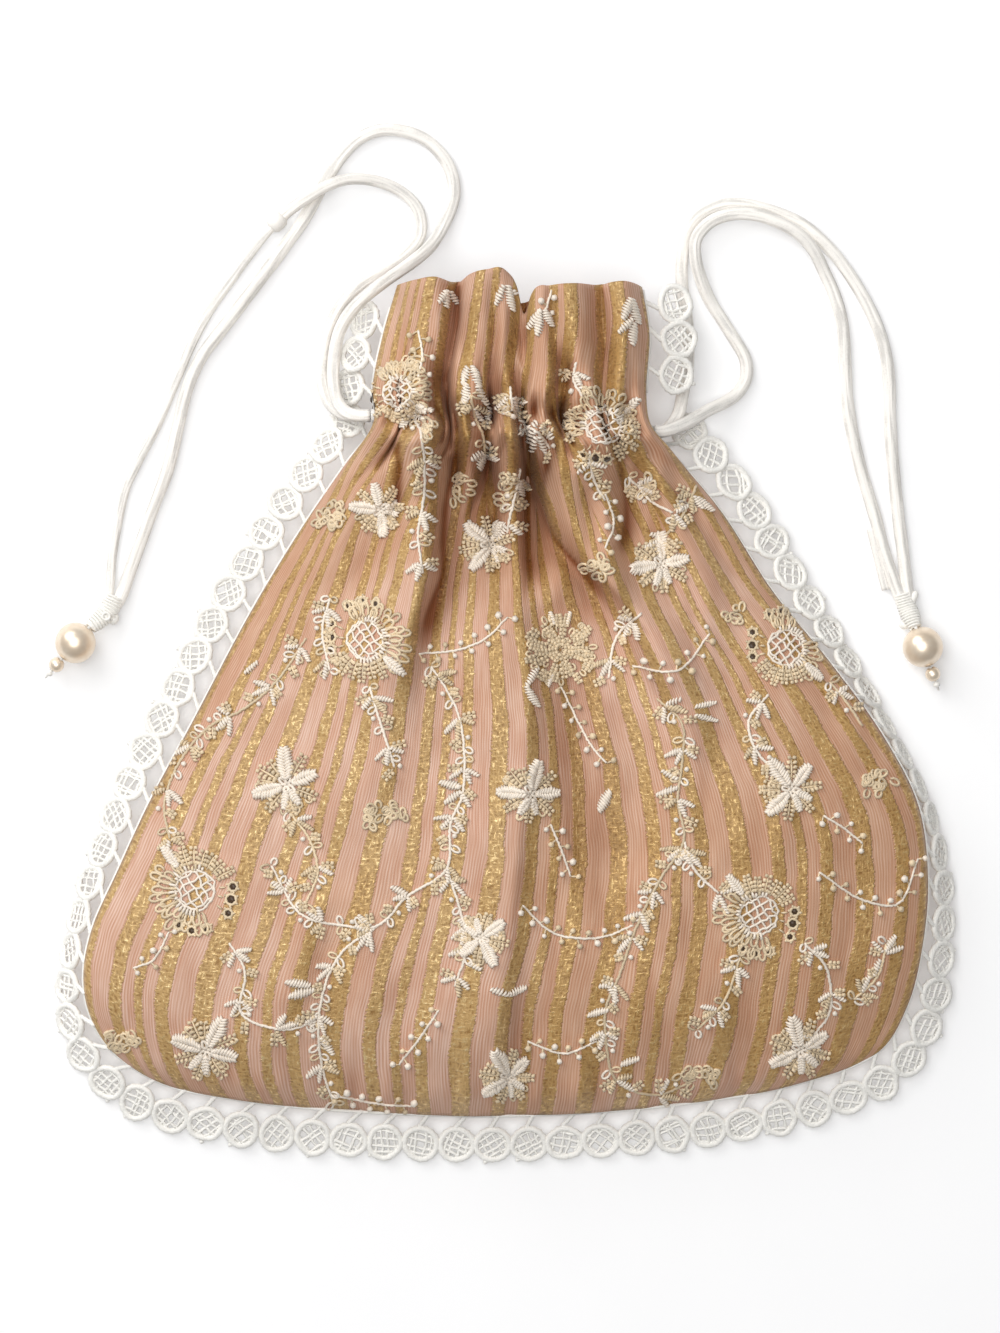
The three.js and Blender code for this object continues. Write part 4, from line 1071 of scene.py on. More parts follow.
def striped_cloth(cloth):
    """Tissue with fine pin lines on pink between stripes of gold metal thread."""
    finish = Finish("striped_tissue", CLOTH_SURFACE)
    start = finish.start

    def noise_of(name, detail=1):
        return finish.speckle(finish.weave(*CLOTH_NOISE[name]), detail)

    wander = (noise_of("wander") - 0.5) * STRIPE_WANDER
    waver = (noise_of("waver") - 0.5) * STRIPE_WAVER
    across = start.node("SeparateXYZ", None, {0: finish.weave(1, 1)}) + wander + waver
    frayed = across + (noise_of("ragged") - 0.5) * STRIPE_FRAY
    gold = start.node("ValToRGB", {"stops": stripe_stops()}, {0: start.maths("FRACT", frayed)})

    threads = noise_of("threads", 2)
    pins = start.maths("SINE", across * (PIN_LINES * math.tau)) * noise_of("pins")
    of_threads, of_slub, of_pins = PINK_SHARES
    mixed = threads * of_threads + noise_of("slub", 2) * of_slub + pins * of_pins
    pink_stops = list(zip(PINK_PLACES, (cloth.pink_shade, cloth.pink, cloth.pink_pale)))
    pink = start.node("ValToRGB", {"stops": pink_stops}, {0: mixed})

    flecks = start.maths("MAXIMUM", noise_of("long_flecks", 2), noise_of("cross_flecks", 2)) - FLECK_SHIFT
    dim_gold = [tone * GOLD_DIM for tone in cloth.gold]
    gold_stops = list(zip(GOLD_PLACES, (cloth.gold_shade, dim_gold, cloth.gold, cloth.gold_glint)))
    glow = noise_of("glow") * GLOW_SHARE - GLOW_SHIFT
    metal = start.node("ValToRGB", {"stops": gold_stops}, {0: flecks + glow})
    tone = gold.blend(pink, metal)
    fade = finish.speckle(finish.place(*[FADE_SCALE] * 3), 1).ease(*FADE)
    # Painted shade: the attribute darkens the cloth's colour in its hollows, creases and mouth.
    hollow = start.node("Attribute", {"attribute_name": "hollow"}, None, "Fac")
    finish.feed("Base Color", hollow.tint(fade.tint(tone, cloth.tan), cloth.painted_fold_shade))
    finish.feed("Metallic", gold * flecks.ease(*METAL_FLECKS) * METAL)
    finish.feed("Roughness", CLOTH_ROUGH - gold * GOLD_SMOOTH)
    high_flecks, high_gold, high_threads = CLOTH_RELIEF
    relief = gold * flecks * high_flecks + gold * high_gold + threads * high_threads
    finish.bump(relief, *CLOTH_BUMP)
    return finish.material


def thread_finish(name, tone, dark):
    """Shiny embroidery thread, a little different from stitch to stitch."""
    finish = Finish(name, THREAD_SURFACE)
    stitch = finish.start.node("Attribute", {"attribute_name": "tone"}, None, "Fac")
    fibre = finish.speckle(finish.place(*[THREAD_FIBRE] * 3), 1)
    shade = [value * dark for value in tone]
    of_stitch, of_fibre = THREAD_SHARES
    finish.feed("Base Color", (stitch * of_stitch + fibre * of_fibre).blend(shade, tone))
    finish.bump(fibre, *THREAD_BUMP)
    return finish.material


def lace_finish(lace):
    """Matt cotton cord of fine twisted threads."""
    finish = Finish("lace_cotton", LACE_SURFACE)
    fibre = finish.speckle(finish.place(*[LACE_FIBRE] * 3), 2)
    soil = finish.speckle(finish.place(*[LACE_SOIL] * 3), 2)
    shade = [tone * LACE_DARK for tone in lace.cotton]
    of_fibre, of_soil = LACE_SHARES
    mixed = fibre * of_fibre + soil * of_soil
    finish.feed("Base Color", mixed.ease(*LACE_TONES).blend(shade, lace.cotton))
    finish.bump(fibre, *LACE_BUMP)
    return finish.material


def cord_finish(cord):
    """Sewn strip of ivory cloth, folded and creased along its length, with painted shade in its creases and real wear.
    """
    finish = Finish("drawstring_cloth", CORD_SURFACE)
    creases = finish.speckle(finish.weave(*CORD_CREASES), 2)
    wear = finish.speckle(finish.weave(*CORD_WEAR), 2)
    weave = finish.speckle(finish.place(*[CORD_FIBRE] * 3), 1)
    shade = [tone * CORD_DARK for tone in cord.cream]
    of_creases, of_wear, of_weave = CORD_SHARES
    mixed = creases * of_creases + wear * of_wear + weave * of_weave
    # Painted shade: the colour darkens with the crease noise, mixed with the cord's real wear and weave.
    finish.feed("Base Color", mixed.ease(*CORD_TONES).blend(shade, cord.cream))
    high_creases, high_weave = CORD_RELIEF
    finish.bump(creases * high_creases + weave * high_weave, *CORD_BUMP)
    return finish.material


def pearl_finish(bead):
    """Cream nacre that gives back a broad soft light."""
    finish = Finish("pearl_nacre", PEARL_SURFACE)
    cloud = finish.speckle(finish.place(*[PEARL_CLOUD] * 3), 2)
    shade = [tone * part for tone, part in zip(bead.nacre, PEARL_DARK)]
    finish.feed("Base Color", cloud.ease(*PEARL_TONES).blend(shade, bead.nacre))
    return finish.material


def floor_finish(glow):
    """Plain white paper."""
    paper = {"Roughness": 0.9, "Emission Color": (1, 1, 1, 1), "Emission Strength": glow}
    finish = Finish("white_paper", paper)
    grain = finish.speckle(finish.place(*[PAPER_GRAIN] * 3), 2)
    finish.feed("Base Color", grain.blend(*PAPER_TONES))
    return finish.material


def ease(low, high, at):
    """Eased step from 0 at low to 1 at high."""
    part = np.clip((at - low) / (high - low), 0, 1)
    return part * part * (3 - 2 * part)


def bell(away, wide):
    return np.exp(-((away / wide) ** 2))


def between(first, second, part):
    return first + (second - first) * part


def unit(vectors):
    return vectors / np.linalg.norm(vectors, axis=-1, keepdims=True)


def curve_piece(start, start_slope, end, end_slope, part):
    """Cubic from start to end with the slopes given there."""
    square, cube = part**2, part**3
    return (
        (2 * cube - 3 * square + 1) * start
        + (cube - 2 * square + part) * start_slope
        + (3 * square - 2 * cube) * end
        + (cube - square) * end_slope
    )


def profile(at, places, values):
    """A smooth curve through a table's values, read at each place."""
    places = np.asarray(places, float)
    values = np.asarray(values, float)
    slopes = np.gradient(values, places)
    at = np.clip(at, places[0], places[-1])
    row = np.clip(np.searchsorted(places, at, side="right") - 1, 0, len(places) - 2)
    wide = places[row + 1] - places[row]
    part = (at - places[row]) / wide
    return curve_piece(values[row], slopes[row] * wide, values[row + 1], slopes[row + 1] * wide, part)


def smooth_line(points, steps):
    """Points on one smooth curve through a route's points, with that many steps between two."""
    route = np.asarray(points, float)
    route = np.vstack([2 * route[0] - route[1], route, 2 * route[-1] - route[-2]])
    part = np.linspace(0, 1, steps, endpoint=False)[:, None]
    spans = []
    for before, start, end, after in zip(route, route[1:], route[2:], route[3:]):
        first, middle, last = (
            np.sqrt(np.linalg.norm(gap)) for gap in (start - before, end - start, after - end)
        )
        slope = (start - before) / first - (end - before) / (first + middle) + (end - start) / middle
        end_slope = (end - start) / middle - (after - start) / (middle + last) + (after - end) / last
        spans.append(curve_piece(start, slope * middle, end, end_slope * middle, part))
    return np.vstack([*spans, route[-2:-1]])


def travelled(line):
    """Distance along a line at each of its points."""
    return np.concatenate([[0], np.cumsum(np.linalg.norm(np.diff(line, axis=0), axis=1))])


def stepped(line, step):
    """A line again, with points a step apart."""
    along = travelled(line)
    at = np.linspace(0, along[-1], max(2, round(along[-1] / step) + 1))
    return np.stack([np.interp(at, along, line[:, axis]) for axis in range(line.shape[1])], axis=1)


class Seam:
    """The seam round the pouch, read by the share of its length."""

    STEPS = 24

    def __init__(self, rows):
        table = np.array(rows, float)
        self.line = smooth_line(table[:, :3], self.STEPS)
        self.long = travelled(self.line)[-1]
        self.shares = travelled(self.line) / self.long
        self.tilts = np.interp(np.arange(len(self.line)) / self.STEPS, np.arange(len(rows)), table[:, 3])

    def share_at_row(self, row):
        return self.shares[row * self.STEPS]

    def at(self, where):
        return np.stack([np.interp(where, self.shares, self.line[:, axis]) for axis in range(3)], axis=-1)

    def tilt(self, where):
        return np.radians(np.interp(where, self.shares, self.tilts))


SEAM_LINE = Seam(SEAM)
LEFT_CORNER = SEAM_LINE.share_at_row(LEFT_CORNER_ROW)
RIGHT_CORNER = SEAM_LINE.share_at_row(RIGHT_CORNER_ROW)
RIGHT_NECK = SEAM_LINE.share_at_row(RIGHT_NECK_ROW)
SIDE_LONG = LEFT_CORNER * SEAM_LINE.long


def half_gap(point):
    """Half the height of the gap between the panels at a point of the seam."""
    slit = np.where(point[..., 0] < 0, LEFT_SLIT_Y, RIGHT_SLIT_Y)
    return SEAM_GAP / 2 + SLIT_OPEN * (1 - ease(SLIT_FULL, SLIT_END, np.abs(point[..., 1] - slit)))


def plan(across, up):
    """Points between the two side seams."""
    left = SEAM_LINE.at(between(LEFT_CORNER, 0, up))
    right = SEAM_LINE.at(between(RIGHT_CORNER, 1, up))
    bottom = SEAM_LINE.at(between(LEFT_CORNER, RIGHT_CORNER, across))
    corners = SEAM_LINE.at(np.array([LEFT_CORNER, RIGHT_CORNER]))
    part = across[:, None]
    chord = between(corners[0], corners[1], part)
    return between(left, right, part) + (bottom - chord) * ((1 - up) ** BOTTOM_FADE)[:, None]


def gap_across(across, up):
    """Half the seam's gap on the nearer side, fading to the plain gap inside the panel."""
    side = np.where(across < 0.5, between(LEFT_CORNER, 0, up), between(RIGHT_CORNER, 1, up))
    return between(SEAM_GAP / 2, half_gap(SEAM_LINE.at(side)), np.abs(2 * across - 1) ** GAP_POWER)


def ridge_height(x, y, table, fade, end):
    """How high a table's folds or creases raise the front."""
    height = np.zeros_like(x)
    for ridge_y, ridge_x, high, left, right in table:
        away = x - profile(y, ridge_y, ridge_x)
        foot = ease(ridge_y[0] - fade, ridge_y[0] + fade, y)
        top = 1 - ease(ridge_y[-1] - end[0], ridge_y[-1] + end[1], y)
        height += high * foot * top * bell(away, np.where(away < 0, left, right))
    return height


def noise_at(across, along, layer):
    """Noise between -1 and 1 at each pair of places, from one layer of it."""
    return np.array([noise.noise((first, second, layer)) for first, second in zip(across, along)])


def wrinkle_height(x, y):
    """Fine unevenness of the cloth, longer along its stripes."""
    height = np.zeros_like(x)
    for layer, (wide, long, deep) in enumerate(WRINKLES):
        height += deep * noise_at(x / wide, y / long, WRINKLE_LAYER * layer)
    return height


def gather_height(cloth, y):
    """Fine gathers that the drawstring draws up."""
    shift = noise_at(cloth * GATHERS / 2, y / GATHER_REACH, GATHER_LAYER)
    wave = np.sin(math.tau * GATHERS * cloth + GATHER_UNEVEN * shift)
    return GATHER_DEEP * (wave + GATHER_LIFT) * bell(y - NECK_Y, GATHER_REACH)


def ruche_height(x, y):
    """Bulges of the cloth where the drawstring bunches it."""
    wide, tall = RUCHE_BULGE
    bulges = noise_at(x / wide, y / tall, RUCHE_LAYER)
    return RUCHE_DEEP * bulges * bell(y - RUCHE_Y, RUCHE_REACH)


def pucker_height(x, low):
    """Puckers of the bottom seam, by the distance up from it."""
    puckers = noise_at(x / PUCKER_WIDE, np.zeros_like(x), PUCKER_LAYER)
    return PUCKER_DEEP * puckers * low / PUCKER_REACH * bell(low, PUCKER_REACH)


def fold_height(x, y):
    """How high the folds, creases and ruching together raise the front."""
    folds = ridge_height(x, y, FOLDS, FOLD_FADE, FOLD_TOP)
    creases = ridge_height(x, y, CREASES, CREASE_FADE, CREASE_TOP)
    return folds + creases + ruche_height(x, y)


def groove_height(x, y):
    """The line along which the drawstring pulls the cloth in, and the puffs on both sides of it."""
    wander = noise_at(x / GROOVE_LONG, np.zeros_like(x), GROOVE_LAYER)
    above = y - GROOVE_Y - GROOVE_WANDER * wander
    puffs = sum(high * bell(above - away, reach) for away, high, reach in PUFFS)
    return puffs - GROOVE_DEEP * bell(above, GROOVE_WIDE)


def painted_hollow_shade(x, y):
    """Painted shade of a point in the broad hollows of the front, from 0 to 1."""
    return HOLLOW_SHADE * ease(*HOLLOW, -fold_height(x, y))


def crease_depth(heights):
    """How far each point of a grid of heights lies below the mean of its neighbours."""
    wider = np.pad(heights, ((CREASE_ROWS,) * 2, (CREASE_COLUMNS,) * 2), mode="edge")
    window = (2 * CREASE_ROWS + 1, 2 * CREASE_COLUMNS + 1)
    return np.lib.stride_tricks.sliding_window_view(wider, window).mean(axis=(2, 3)) - heights


PLEAT_TABLE = np.array(PLEATS, float)
NECK_WIDE = PLEAT_TABLE[:, 0].sum()
NECK_EDGES = np.concatenate([[0], np.cumsum(PLEAT_TABLE[:, 0])]) / NECK_WIDE
LOBE_X, LOBE_BULGE, LOBE_LIFT = zip(*LOBES)
SECTION_UP, SECTION_CROWN, SECTION_SQUARE = zip(*SECTIONS)


def pleat_of(cloth):
    """Index of the pleat at a share across the cloth."""
    return np.clip((cloth * len(PLEATS)).astype(int), 0, len(PLEATS) - 1)


def front_points(cloth, up):
    """Outer face of the front panel at shares across its cloth and up its height."""
    index = pleat_of(cloth)
    wide, deep, reach = PLEAT_TABLE[index].T
    phase = cloth * len(PLEATS) - index
    gathered = between(NECK_EDGES[index], NECK_EDGES[index + 1], phase)
    below = np.maximum(0, (NECK_UP - up) * SIDE_LONG)
    above = ease(NECK_UP, 1, up)
    strength = 1 - ease(0, reach, below)
    pinch = PLEAT_FULL * strength * (1 - above) * np.sin(math.tau * phase) / math.tau
    across = between(cloth, gathered - pinch * wide / NECK_WIDE, ease(GATHER_FROM, NECK_UP, up))

    point = plan(across, up)
    x, y = point[:, 0].copy(), point[:, 1].copy()
    arch = (1 - np.abs(2 * across - 1) ** profile(up, SECTION_UP, SECTION_SQUARE)) ** SHOULDER
    cinch = 1 - CINCH_DIP * bell(y - NECK_Y, CINCH_WIDE)
    ridge = deep * strength * cinch * ((1 - np.cos(math.tau * phase)) / 2) ** PLEAT_ROUND
    crown = profile(up, SECTION_UP, SECTION_CROWN) + fold_height(x, y) + wrinkle_height(x, y)
    crown += gather_height(cloth, y) + groove_height(x, y) + pucker_height(x, up * SIDE_LONG)
    inside = np.minimum(arch, ease(0, EDGE_REACH, up))
    point[:, 2] += gap_across(across, up) + between(EDGE_THICK, CLOTH_THICK, inside) + crown * arch
    point[:, 2] += between(ridge, profile(x, LOBE_X, LOBE_BULGE), above)
    point[:, 1] += profile(x, LOBE_X, LOBE_LIFT) * above
    return point * MM


def back_points(cloth, up):
    """Outer face of the back panel, flat on the floor and curling up to the seam."""
    point = plan(cloth, up)
    side = np.maximum(0, (np.abs(2 * cloth - 1) - BACK_FLAT) / (1 - BACK_FLAT)) ** 2
    foot = np.maximum(0, 1 - up / BACK_FOOT) ** 2
    edge = 1 - (1 - side) * (1 - foot)
    gather = ease(*BACK_GATHER, up) * (1 - side)
    ripple = BACK_PLEAT_DEEP * gather * np.sin(BACK_PLEATS * math.pi * cloth) ** 2
    point[:, 2] = between(BACK_RISE, point[:, 2] - gap_across(cloth, up) - EDGE_THICK, edge) + ripple
    point[:, 1] -= NOTCH_DEEP * bell(point[:, 0] - NOTCH_X, NOTCH_WIDE) * ease(*RIM_PART, up)
    return point * MM


def cloth_weave(cloth, up, middle):
    """Repeats across and along at shares of the cloth, with the cloth hidden in pleats left out."""
    count = len(PLEATS)
    index = pleat_of(middle)
    below = np.maximum(0, (NECK_UP - up) * SIDE_LONG)
    shown = between(SHOWN_AT_NECK, 1, ease(0, HIDDEN_REACH, below))
    flat = (index + 0.5 + (cloth * count - index - 0.5) * shown) / count
    wide = SEAM_LINE.long * (RIGHT_CORNER - LEFT_CORNER)
    return np.stack([flat * wide / sum(STRIPES) + STRIPE_SHIFT, up * SIDE_LONG / sum(STRIPES)], axis=-1)


def add_piece(name, mesh, material, slot, replaced=()):
    """A finished mesh as a piece of the pouch."""
    piece = bpy.data.objects.new(name, mesh)
    bpy.context.scene.collection.objects.link(piece)
    mesh.materials.append(material)
    mesh.shade_smooth()
    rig.ride(piece, "root")
    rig.slot(piece, slot)
    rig.replaces(piece, *replaced)
    return piece


def grid_mesh(name, columns, rows, points, weave):
    """A grid of cloth whose points are moved to their places, with its weave as a UV map."""
    shape = bmesh.new()
    bmesh.ops.create_grid(shape, x_segments=columns, y_segments=rows, size=0.5)
    shares = np.array([vert.co[:2] for vert in shape.verts]) + 0.5
    for vert, place in zip(shape.verts, points(shares[:, 0], shares[:, 1])):
        vert.co = place
    mesh = bpy.data.meshes.new(name)
    shape.to_mesh(mesh)
    shape.free()
    corners = np.zeros(len(mesh.loops), int)
    mesh.loops.foreach_get("vertex_index", corners)
    at = shares[corners]
    middle = at[:, 0].reshape(-1, 4).mean(axis=1).repeat(4)
    layer = mesh.uv_layers.new(name=UV_NAME)
    layer.data.foreach_set("uv", weave(at[:, 0], at[:, 1], middle).ravel())
    return mesh


def cloth_panel(name, columns, rows, points, node, turn):
    """One panel of the pouch, thickened towards the inside, with painted shade in its hollows, creases and mouth as an
    attribute.
    """
    cloth = bpy.context.scene.pouch_cloth
    mesh = grid_mesh(name, columns, rows, points, cloth_weave)
    places = np.array([vert.co for vert in mesh.vertices]) / MM
    x, y = places[:, 0], places[:, 1]
    # Painted shade: the back is darkened inside the mouth, the front in its hollows and creases.
    deep = ease(*MOUTH_SHADE, y)
    if not turn:
        crease = crease_depth(places[:, 2].reshape(rows + 1, columns + 1))
        deep = np.maximum(painted_hollow_shade(x, y), ease(*CREASE_SHADE, crease.ravel()))
    mesh.attributes.new("hollow", "FLOAT", "POINT").data.foreach_set("value", deep.astype(np.float32))
    if turn:
        mesh.flip_normals()
    material = bpy.data.materials.get("striped_tissue") or striped_cloth(cloth)
    panel = add_piece(name, mesh, material, "striped_cloth", [node])
    wall = panel.modifiers.new("thickness", "SOLIDIFY")
    wall.thickness = cloth.thick
    wall.offset = -1
    return panel


def path_sides(path):
    """Directions aside and over at each point of a path."""
    heading = unit(np.gradient(path, axis=0))
    side = unit(np.cross(heading, (0, 0, 1)))
    return side, np.cross(side, heading)


def tube_mesh(name, path, radius, sides, flat, uneven):
    """A closed tube along a path, flattened and creased, with its length and its turn as a UV map."""
    along = travelled(path)
    side, over = path_sides(path)
    radii = np.broadcast_to(radius, (len(path),))
    roll = np.array([noise.noise((distance * ROLLS_PER_METRE, ROLL_LAYER, 0)) for distance in along])

    def points(where, turn):
        row = np.rint(where * (len(path) - 1)).astype(int)
        angle = (turn % 1) * math.tau
        face = angle - roll[row]
        round_it = CREASES_ROUND * np.stack([np.cos(face), np.sin(face)])
        spots = zip(along[row] * CREASES_PER_METRE, *round_it)
        lumps = np.array([noise.noise(spot) for spot in spots])
        reach = radii[row] * (1 + uneven * lumps + flat * np.cos(2 * face))
        return path[row] + reach[:, None] * (
            np.cos(angle)[:, None] * side[row] + np.sin(angle)[:, None] * over[row]
        )

    def lengthwise(where, turn, middle):
        return np.stack([where * along[-1], turn], axis=-1)

    mesh = grid_mesh(name, len(path) - 1, sides, points, lengthwise)
    shape = bmesh.new()
    shape.from_mesh(mesh)
    bmesh.ops.remove_doubles(shape, verts=shape.verts, dist=MERGE)
    bmesh.ops.holes_fill(shape, edges=shape.edges, sides=0)
    bmesh.ops.recalc_face_normals(shape, faces=shape.faces)
    shape.to_mesh(mesh)
    shape.free()
    return mesh


def cord_material():
    return bpy.data.materials.get("drawstring_cloth") or cord_finish(bpy.context.scene.pouch_cord)


def cotton_material():
    return bpy.data.materials.get("lace_cotton") or lace_finish(bpy.context.scene.pouch_lace)


def drawstring(name, route, radius, nodes=()):
    """One strand of a drawstring along its route."""
    path = stepped(smooth_line(np.array(route) * MM, ROUTE_STEPS), CORD_STEP)
    mesh = tube_mesh(name, path, radius, CORD_SIDES, CORD_FLAT, CORD_UNEVEN)
    return add_piece(name, mesh, cord_material(), "cord", nodes), path


def hidden_route(side, inside, y):
    """The stretch of a drawstring inside the neck: behind the front, round, and back over the back."""
    level = inside - side * RUN_LEVEL
    middle = (RUN_FRONT_Z + RUN_BACK_Z) / 2
    bend = RUN_BEND * (RUN_FRONT_Z - RUN_BACK_Z) / 2
    return [
        (inside, y, EXIT_TOP_Z),
        (level, y, EXIT_TOP_Z),
        (side * RUN_SHOULDER_X, y, between(EXIT_TOP_Z, RUN_FRONT_Z, RUN_BEND)),
        (side * RUN_FLAT_X, y, RUN_FRONT_Z),
        (0, y, RUN_FRONT_Z),
        (side * -RUN_TURN_X, y, RUN_FRONT_Z),
        (side * -RUN_BEND_X, y, middle + bend),
        (side * -RUN_TIP_X, y, middle),
        (side * -RUN_BEND_X, y, middle - bend),
        (side * -RUN_TURN_X, y, RUN_BACK_Z),
        (0, y, RUN_BACK_Z),
        (side * RUN_FLAT_X, y, RUN_BACK_Z),
        (side * RUN_SHOULDER_X, y, between(EXIT_LOW_Z, RUN_BACK_Z, RUN_BEND)),
        (level, y, EXIT_LOW_Z),
        (inside, y, EXIT_LOW_Z),
    ]


class Threads:
    """Tubes of thread, gathered as arrays and joined into one mesh."""

    def __init__(self):
        self.points = []
        self.faces = []
        self.tones = []
        self.count = 0

    def add(self, line, up, radii, sides=4, closed=False, tone=0.5):
        """Adds one tube along a line, with its ends capped unless it closes on itself."""
        line = np.asarray(line, float)
        steps = len(line)
        along = np.roll(line, -1, 0) - np.roll(line, 1, 0) if closed else np.gradient(line, axis=0)
        along = unit(along)
        side = unit(np.cross(along, up))
        over = np.cross(side, along)
        turn = np.arange(sides) * math.tau / sides
        ring = np.cos(turn)[:, None] * side[:, None] + np.sin(turn)[:, None] * over[:, None]
        radii = np.broadcast_to(radii, (steps,))
        self.points.append((line[:, None] + radii[:, None, None] * ring).reshape(-1, 3))
        rows = np.arange(steps if closed else steps - 1)[:, None] * sides
        spot = np.arange(sides)
        after = (spot + 1) % sides
        ahead = (rows + sides) % (steps * sides)
        quads = np.stack([rows + spot, ahead + spot, ahead + after, rows + after], axis=-1).reshape(-1, 4)
        if not closed:
            cap = np.array([[0, first + 1, first + 2, first + 3] for first in range(0, sides - 2, 2)])
            quads = np.vstack([quads, cap, (steps - 1) * sides + cap[:, ::-1]])
        self.faces.append(quads + self.count)
        self.tones.append(np.full(steps * sides, tone))
        self.count += steps * sides

    def mesh(self, name):
        """All the tubes as one mesh, with each one's tone as an attribute."""
        mesh = bpy.data.meshes.new(name)
        mesh.from_pydata(np.vstack(self.points).tolist(), [], np.vstack(self.faces).tolist())
        tones = mesh.attributes.new("tone", "FLOAT", "POINT")
        tones.data.foreach_set("value", np.concatenate(self.tones).astype(np.float32))
        return mesh


def lace_frame(where):
    """Foot, direction along, direction outwards and face of the lace at a share of the seam."""
    foot = SEAM_LINE.at(where)
    flat = SEAM_LINE.at(min(1, where + LACE_NEAR)) - SEAM_LINE.at(max(0, where - LACE_NEAR))
    flat = unit(flat * (1, 1, 0))
    tilt = SEAM_LINE.tilt(where)
    outward = np.array([flat[1] * math.cos(tilt), -flat[0] * math.cos(tilt), math.sin(tilt)])
    foot[2] += (half_gap(foot) - SEAM_GAP / 2) * (1 if where > RIGHT_NECK else -1)
    return foot, flat, outward, np.cross(flat, outward)


# Runs of lace: the node that each stands for, and its ends as shares of the seam.
LACE_RUNS = [
    ("lace_left", 0.009, LEFT_CORNER),
    ("lace_bottom", LEFT_CORNER, RIGHT_CORNER),
    ("lace_right", RIGHT_CORNER, RIGHT_NECK - 0.006),
    ("lace_mouth_right", RIGHT_NECK + 0.0125, 0.999),
]


def ring_places(start, end):
    """Shares of the seam at which the rings of a run sit, an even distance apart along their middles."""
    shares = np.linspace(start, end, LACE_SAMPLES)
    middles = []
    for where in shares:
        foot, _, outward, _ = lace_frame(where)
        middles.append(foot + outward * RING_MIDDLE)
    along = travelled(np.array(middles))
    count = round((along[-1] - TOUCH_GAP) / RING_PITCH)
    pitch = (along[-1] - TOUCH_GAP) / count
    return np.interp(TOUCH_GAP / 2 + (np.arange(count) + 0.5) * pitch, along, shares)


def sway(chance, most):
    """A chance value up to the most given, either way."""
    return chance.uniform(-most, most)


def by_turns(count, pair):
    """Two values by turns, that many in all."""
    return np.array(pair)[np.arange(count) % 2]


def ring_rim(spot, chance, middle):
    """Points of a ring's rim, a little out of round."""
    squash = sway(chance, RING_SQUASH)
    turn = np.linspace(0, math.tau, RIM_POINTS, endpoint=False)
    away = np.full(RIM_POINTS, middle)
    for waves in RING_WAVES:
        away += sway(chance, RING_WAVE) * np.cos(waves * turn + chance.uniform(0, math.tau))
    return [
        spot(
            reach * (1 + squash) * math.cos(angle),
            RING_MIDDLE + reach * (1 - squash) * math.sin(angle),
            sway(chance, RING_WARP),
        )
        for reach, angle in zip(away, turn)
    ]


def ring_net(spot, chance, middle, direction, index):
    """Points of one thread of a ring's net, bowed and wavering."""
    off = (index - (NET_LINES - 1) / 2) * NET_SPACING + sway(chance, NET_SHIFT)
    reach = math.sqrt(max(NET_SHORTEST, middle**2 - off**2))
    bow = sway(chance, NET_BOW)
    line = []
    for part in NET_PARTS:
        aside = off + bow * (1 - part * part) + sway(chance, NET_WAVER)
        ahead = reach * part
        along = ahead * math.cos(direction) - aside * math.sin(direction)
        out = RING_MIDDLE + ahead * math.sin(direction) + aside * math.cos(direction)
        line.append(spot(along, out, sway(chance, NET_WARP)))
    return line


def lace_ring(threads, where, lace, chance):
    """One ring of lace: corded rim, net, leaning rung to the seam and a picot."""
    foot, flat, outward, face = lace_frame(where)

    def spot(along, out, over=0.0):
        return (foot + flat * along + outward * out + face * over) * MM

    middle = RING_RADIUS - lace.rim / MM
    tone = chance.uniform(*RING_TONE)
    rim = ring_rim(spot, chance, middle)
    threads.add(rim, face, lace.rim * by_turns(RIM_POINTS, RIM_TWIST), RIM_SIDES, True, tone)

    lean = math.radians(chance.uniform(0, 90))
    for direction in (lean, lean + math.pi / 2 + sway(chance, NET_TURN)):
        for index in range(NET_LINES):
            net = ring_net(spot, chance, middle, direction, index)
            swell = np.array([chance.uniform(*NET_SWELL) for _ in NET_PARTS])
            threads.add(net, face, lace.net * swell, tone=tone)

    tie = LACE_CLEAR + RUNG_LONG
    slant = chance.uniform(*RUNG_SLANT)
    rung = [
        spot(slant * (1 - part) - RUNG_OVER * part, between(-RUNG_UNDER, tie + RUNG_OVER, part))
        for part in np.linspace(0, 1, RUNG_STEPS)
    ]
    threads.add(rung, face, lace.rung * by_turns(RUNG_STEPS, RUNG_PLIES), RUNG_SIDES, tone=tone)
    if chance.random() < PICOT_CHANCE:
        angle = math.pi / 2 + sway(chance, PICOT_SPREAD)
        past, thick = np.array(PICOT).T
        picot = [
            spot(out * math.cos(angle), RING_MIDDLE + out * math.sin(angle)) for out in RING_RADIUS + past
        ]
        threads.add(picot, face, thick * lace.rung, RUNG_SIDES, tone=tone)


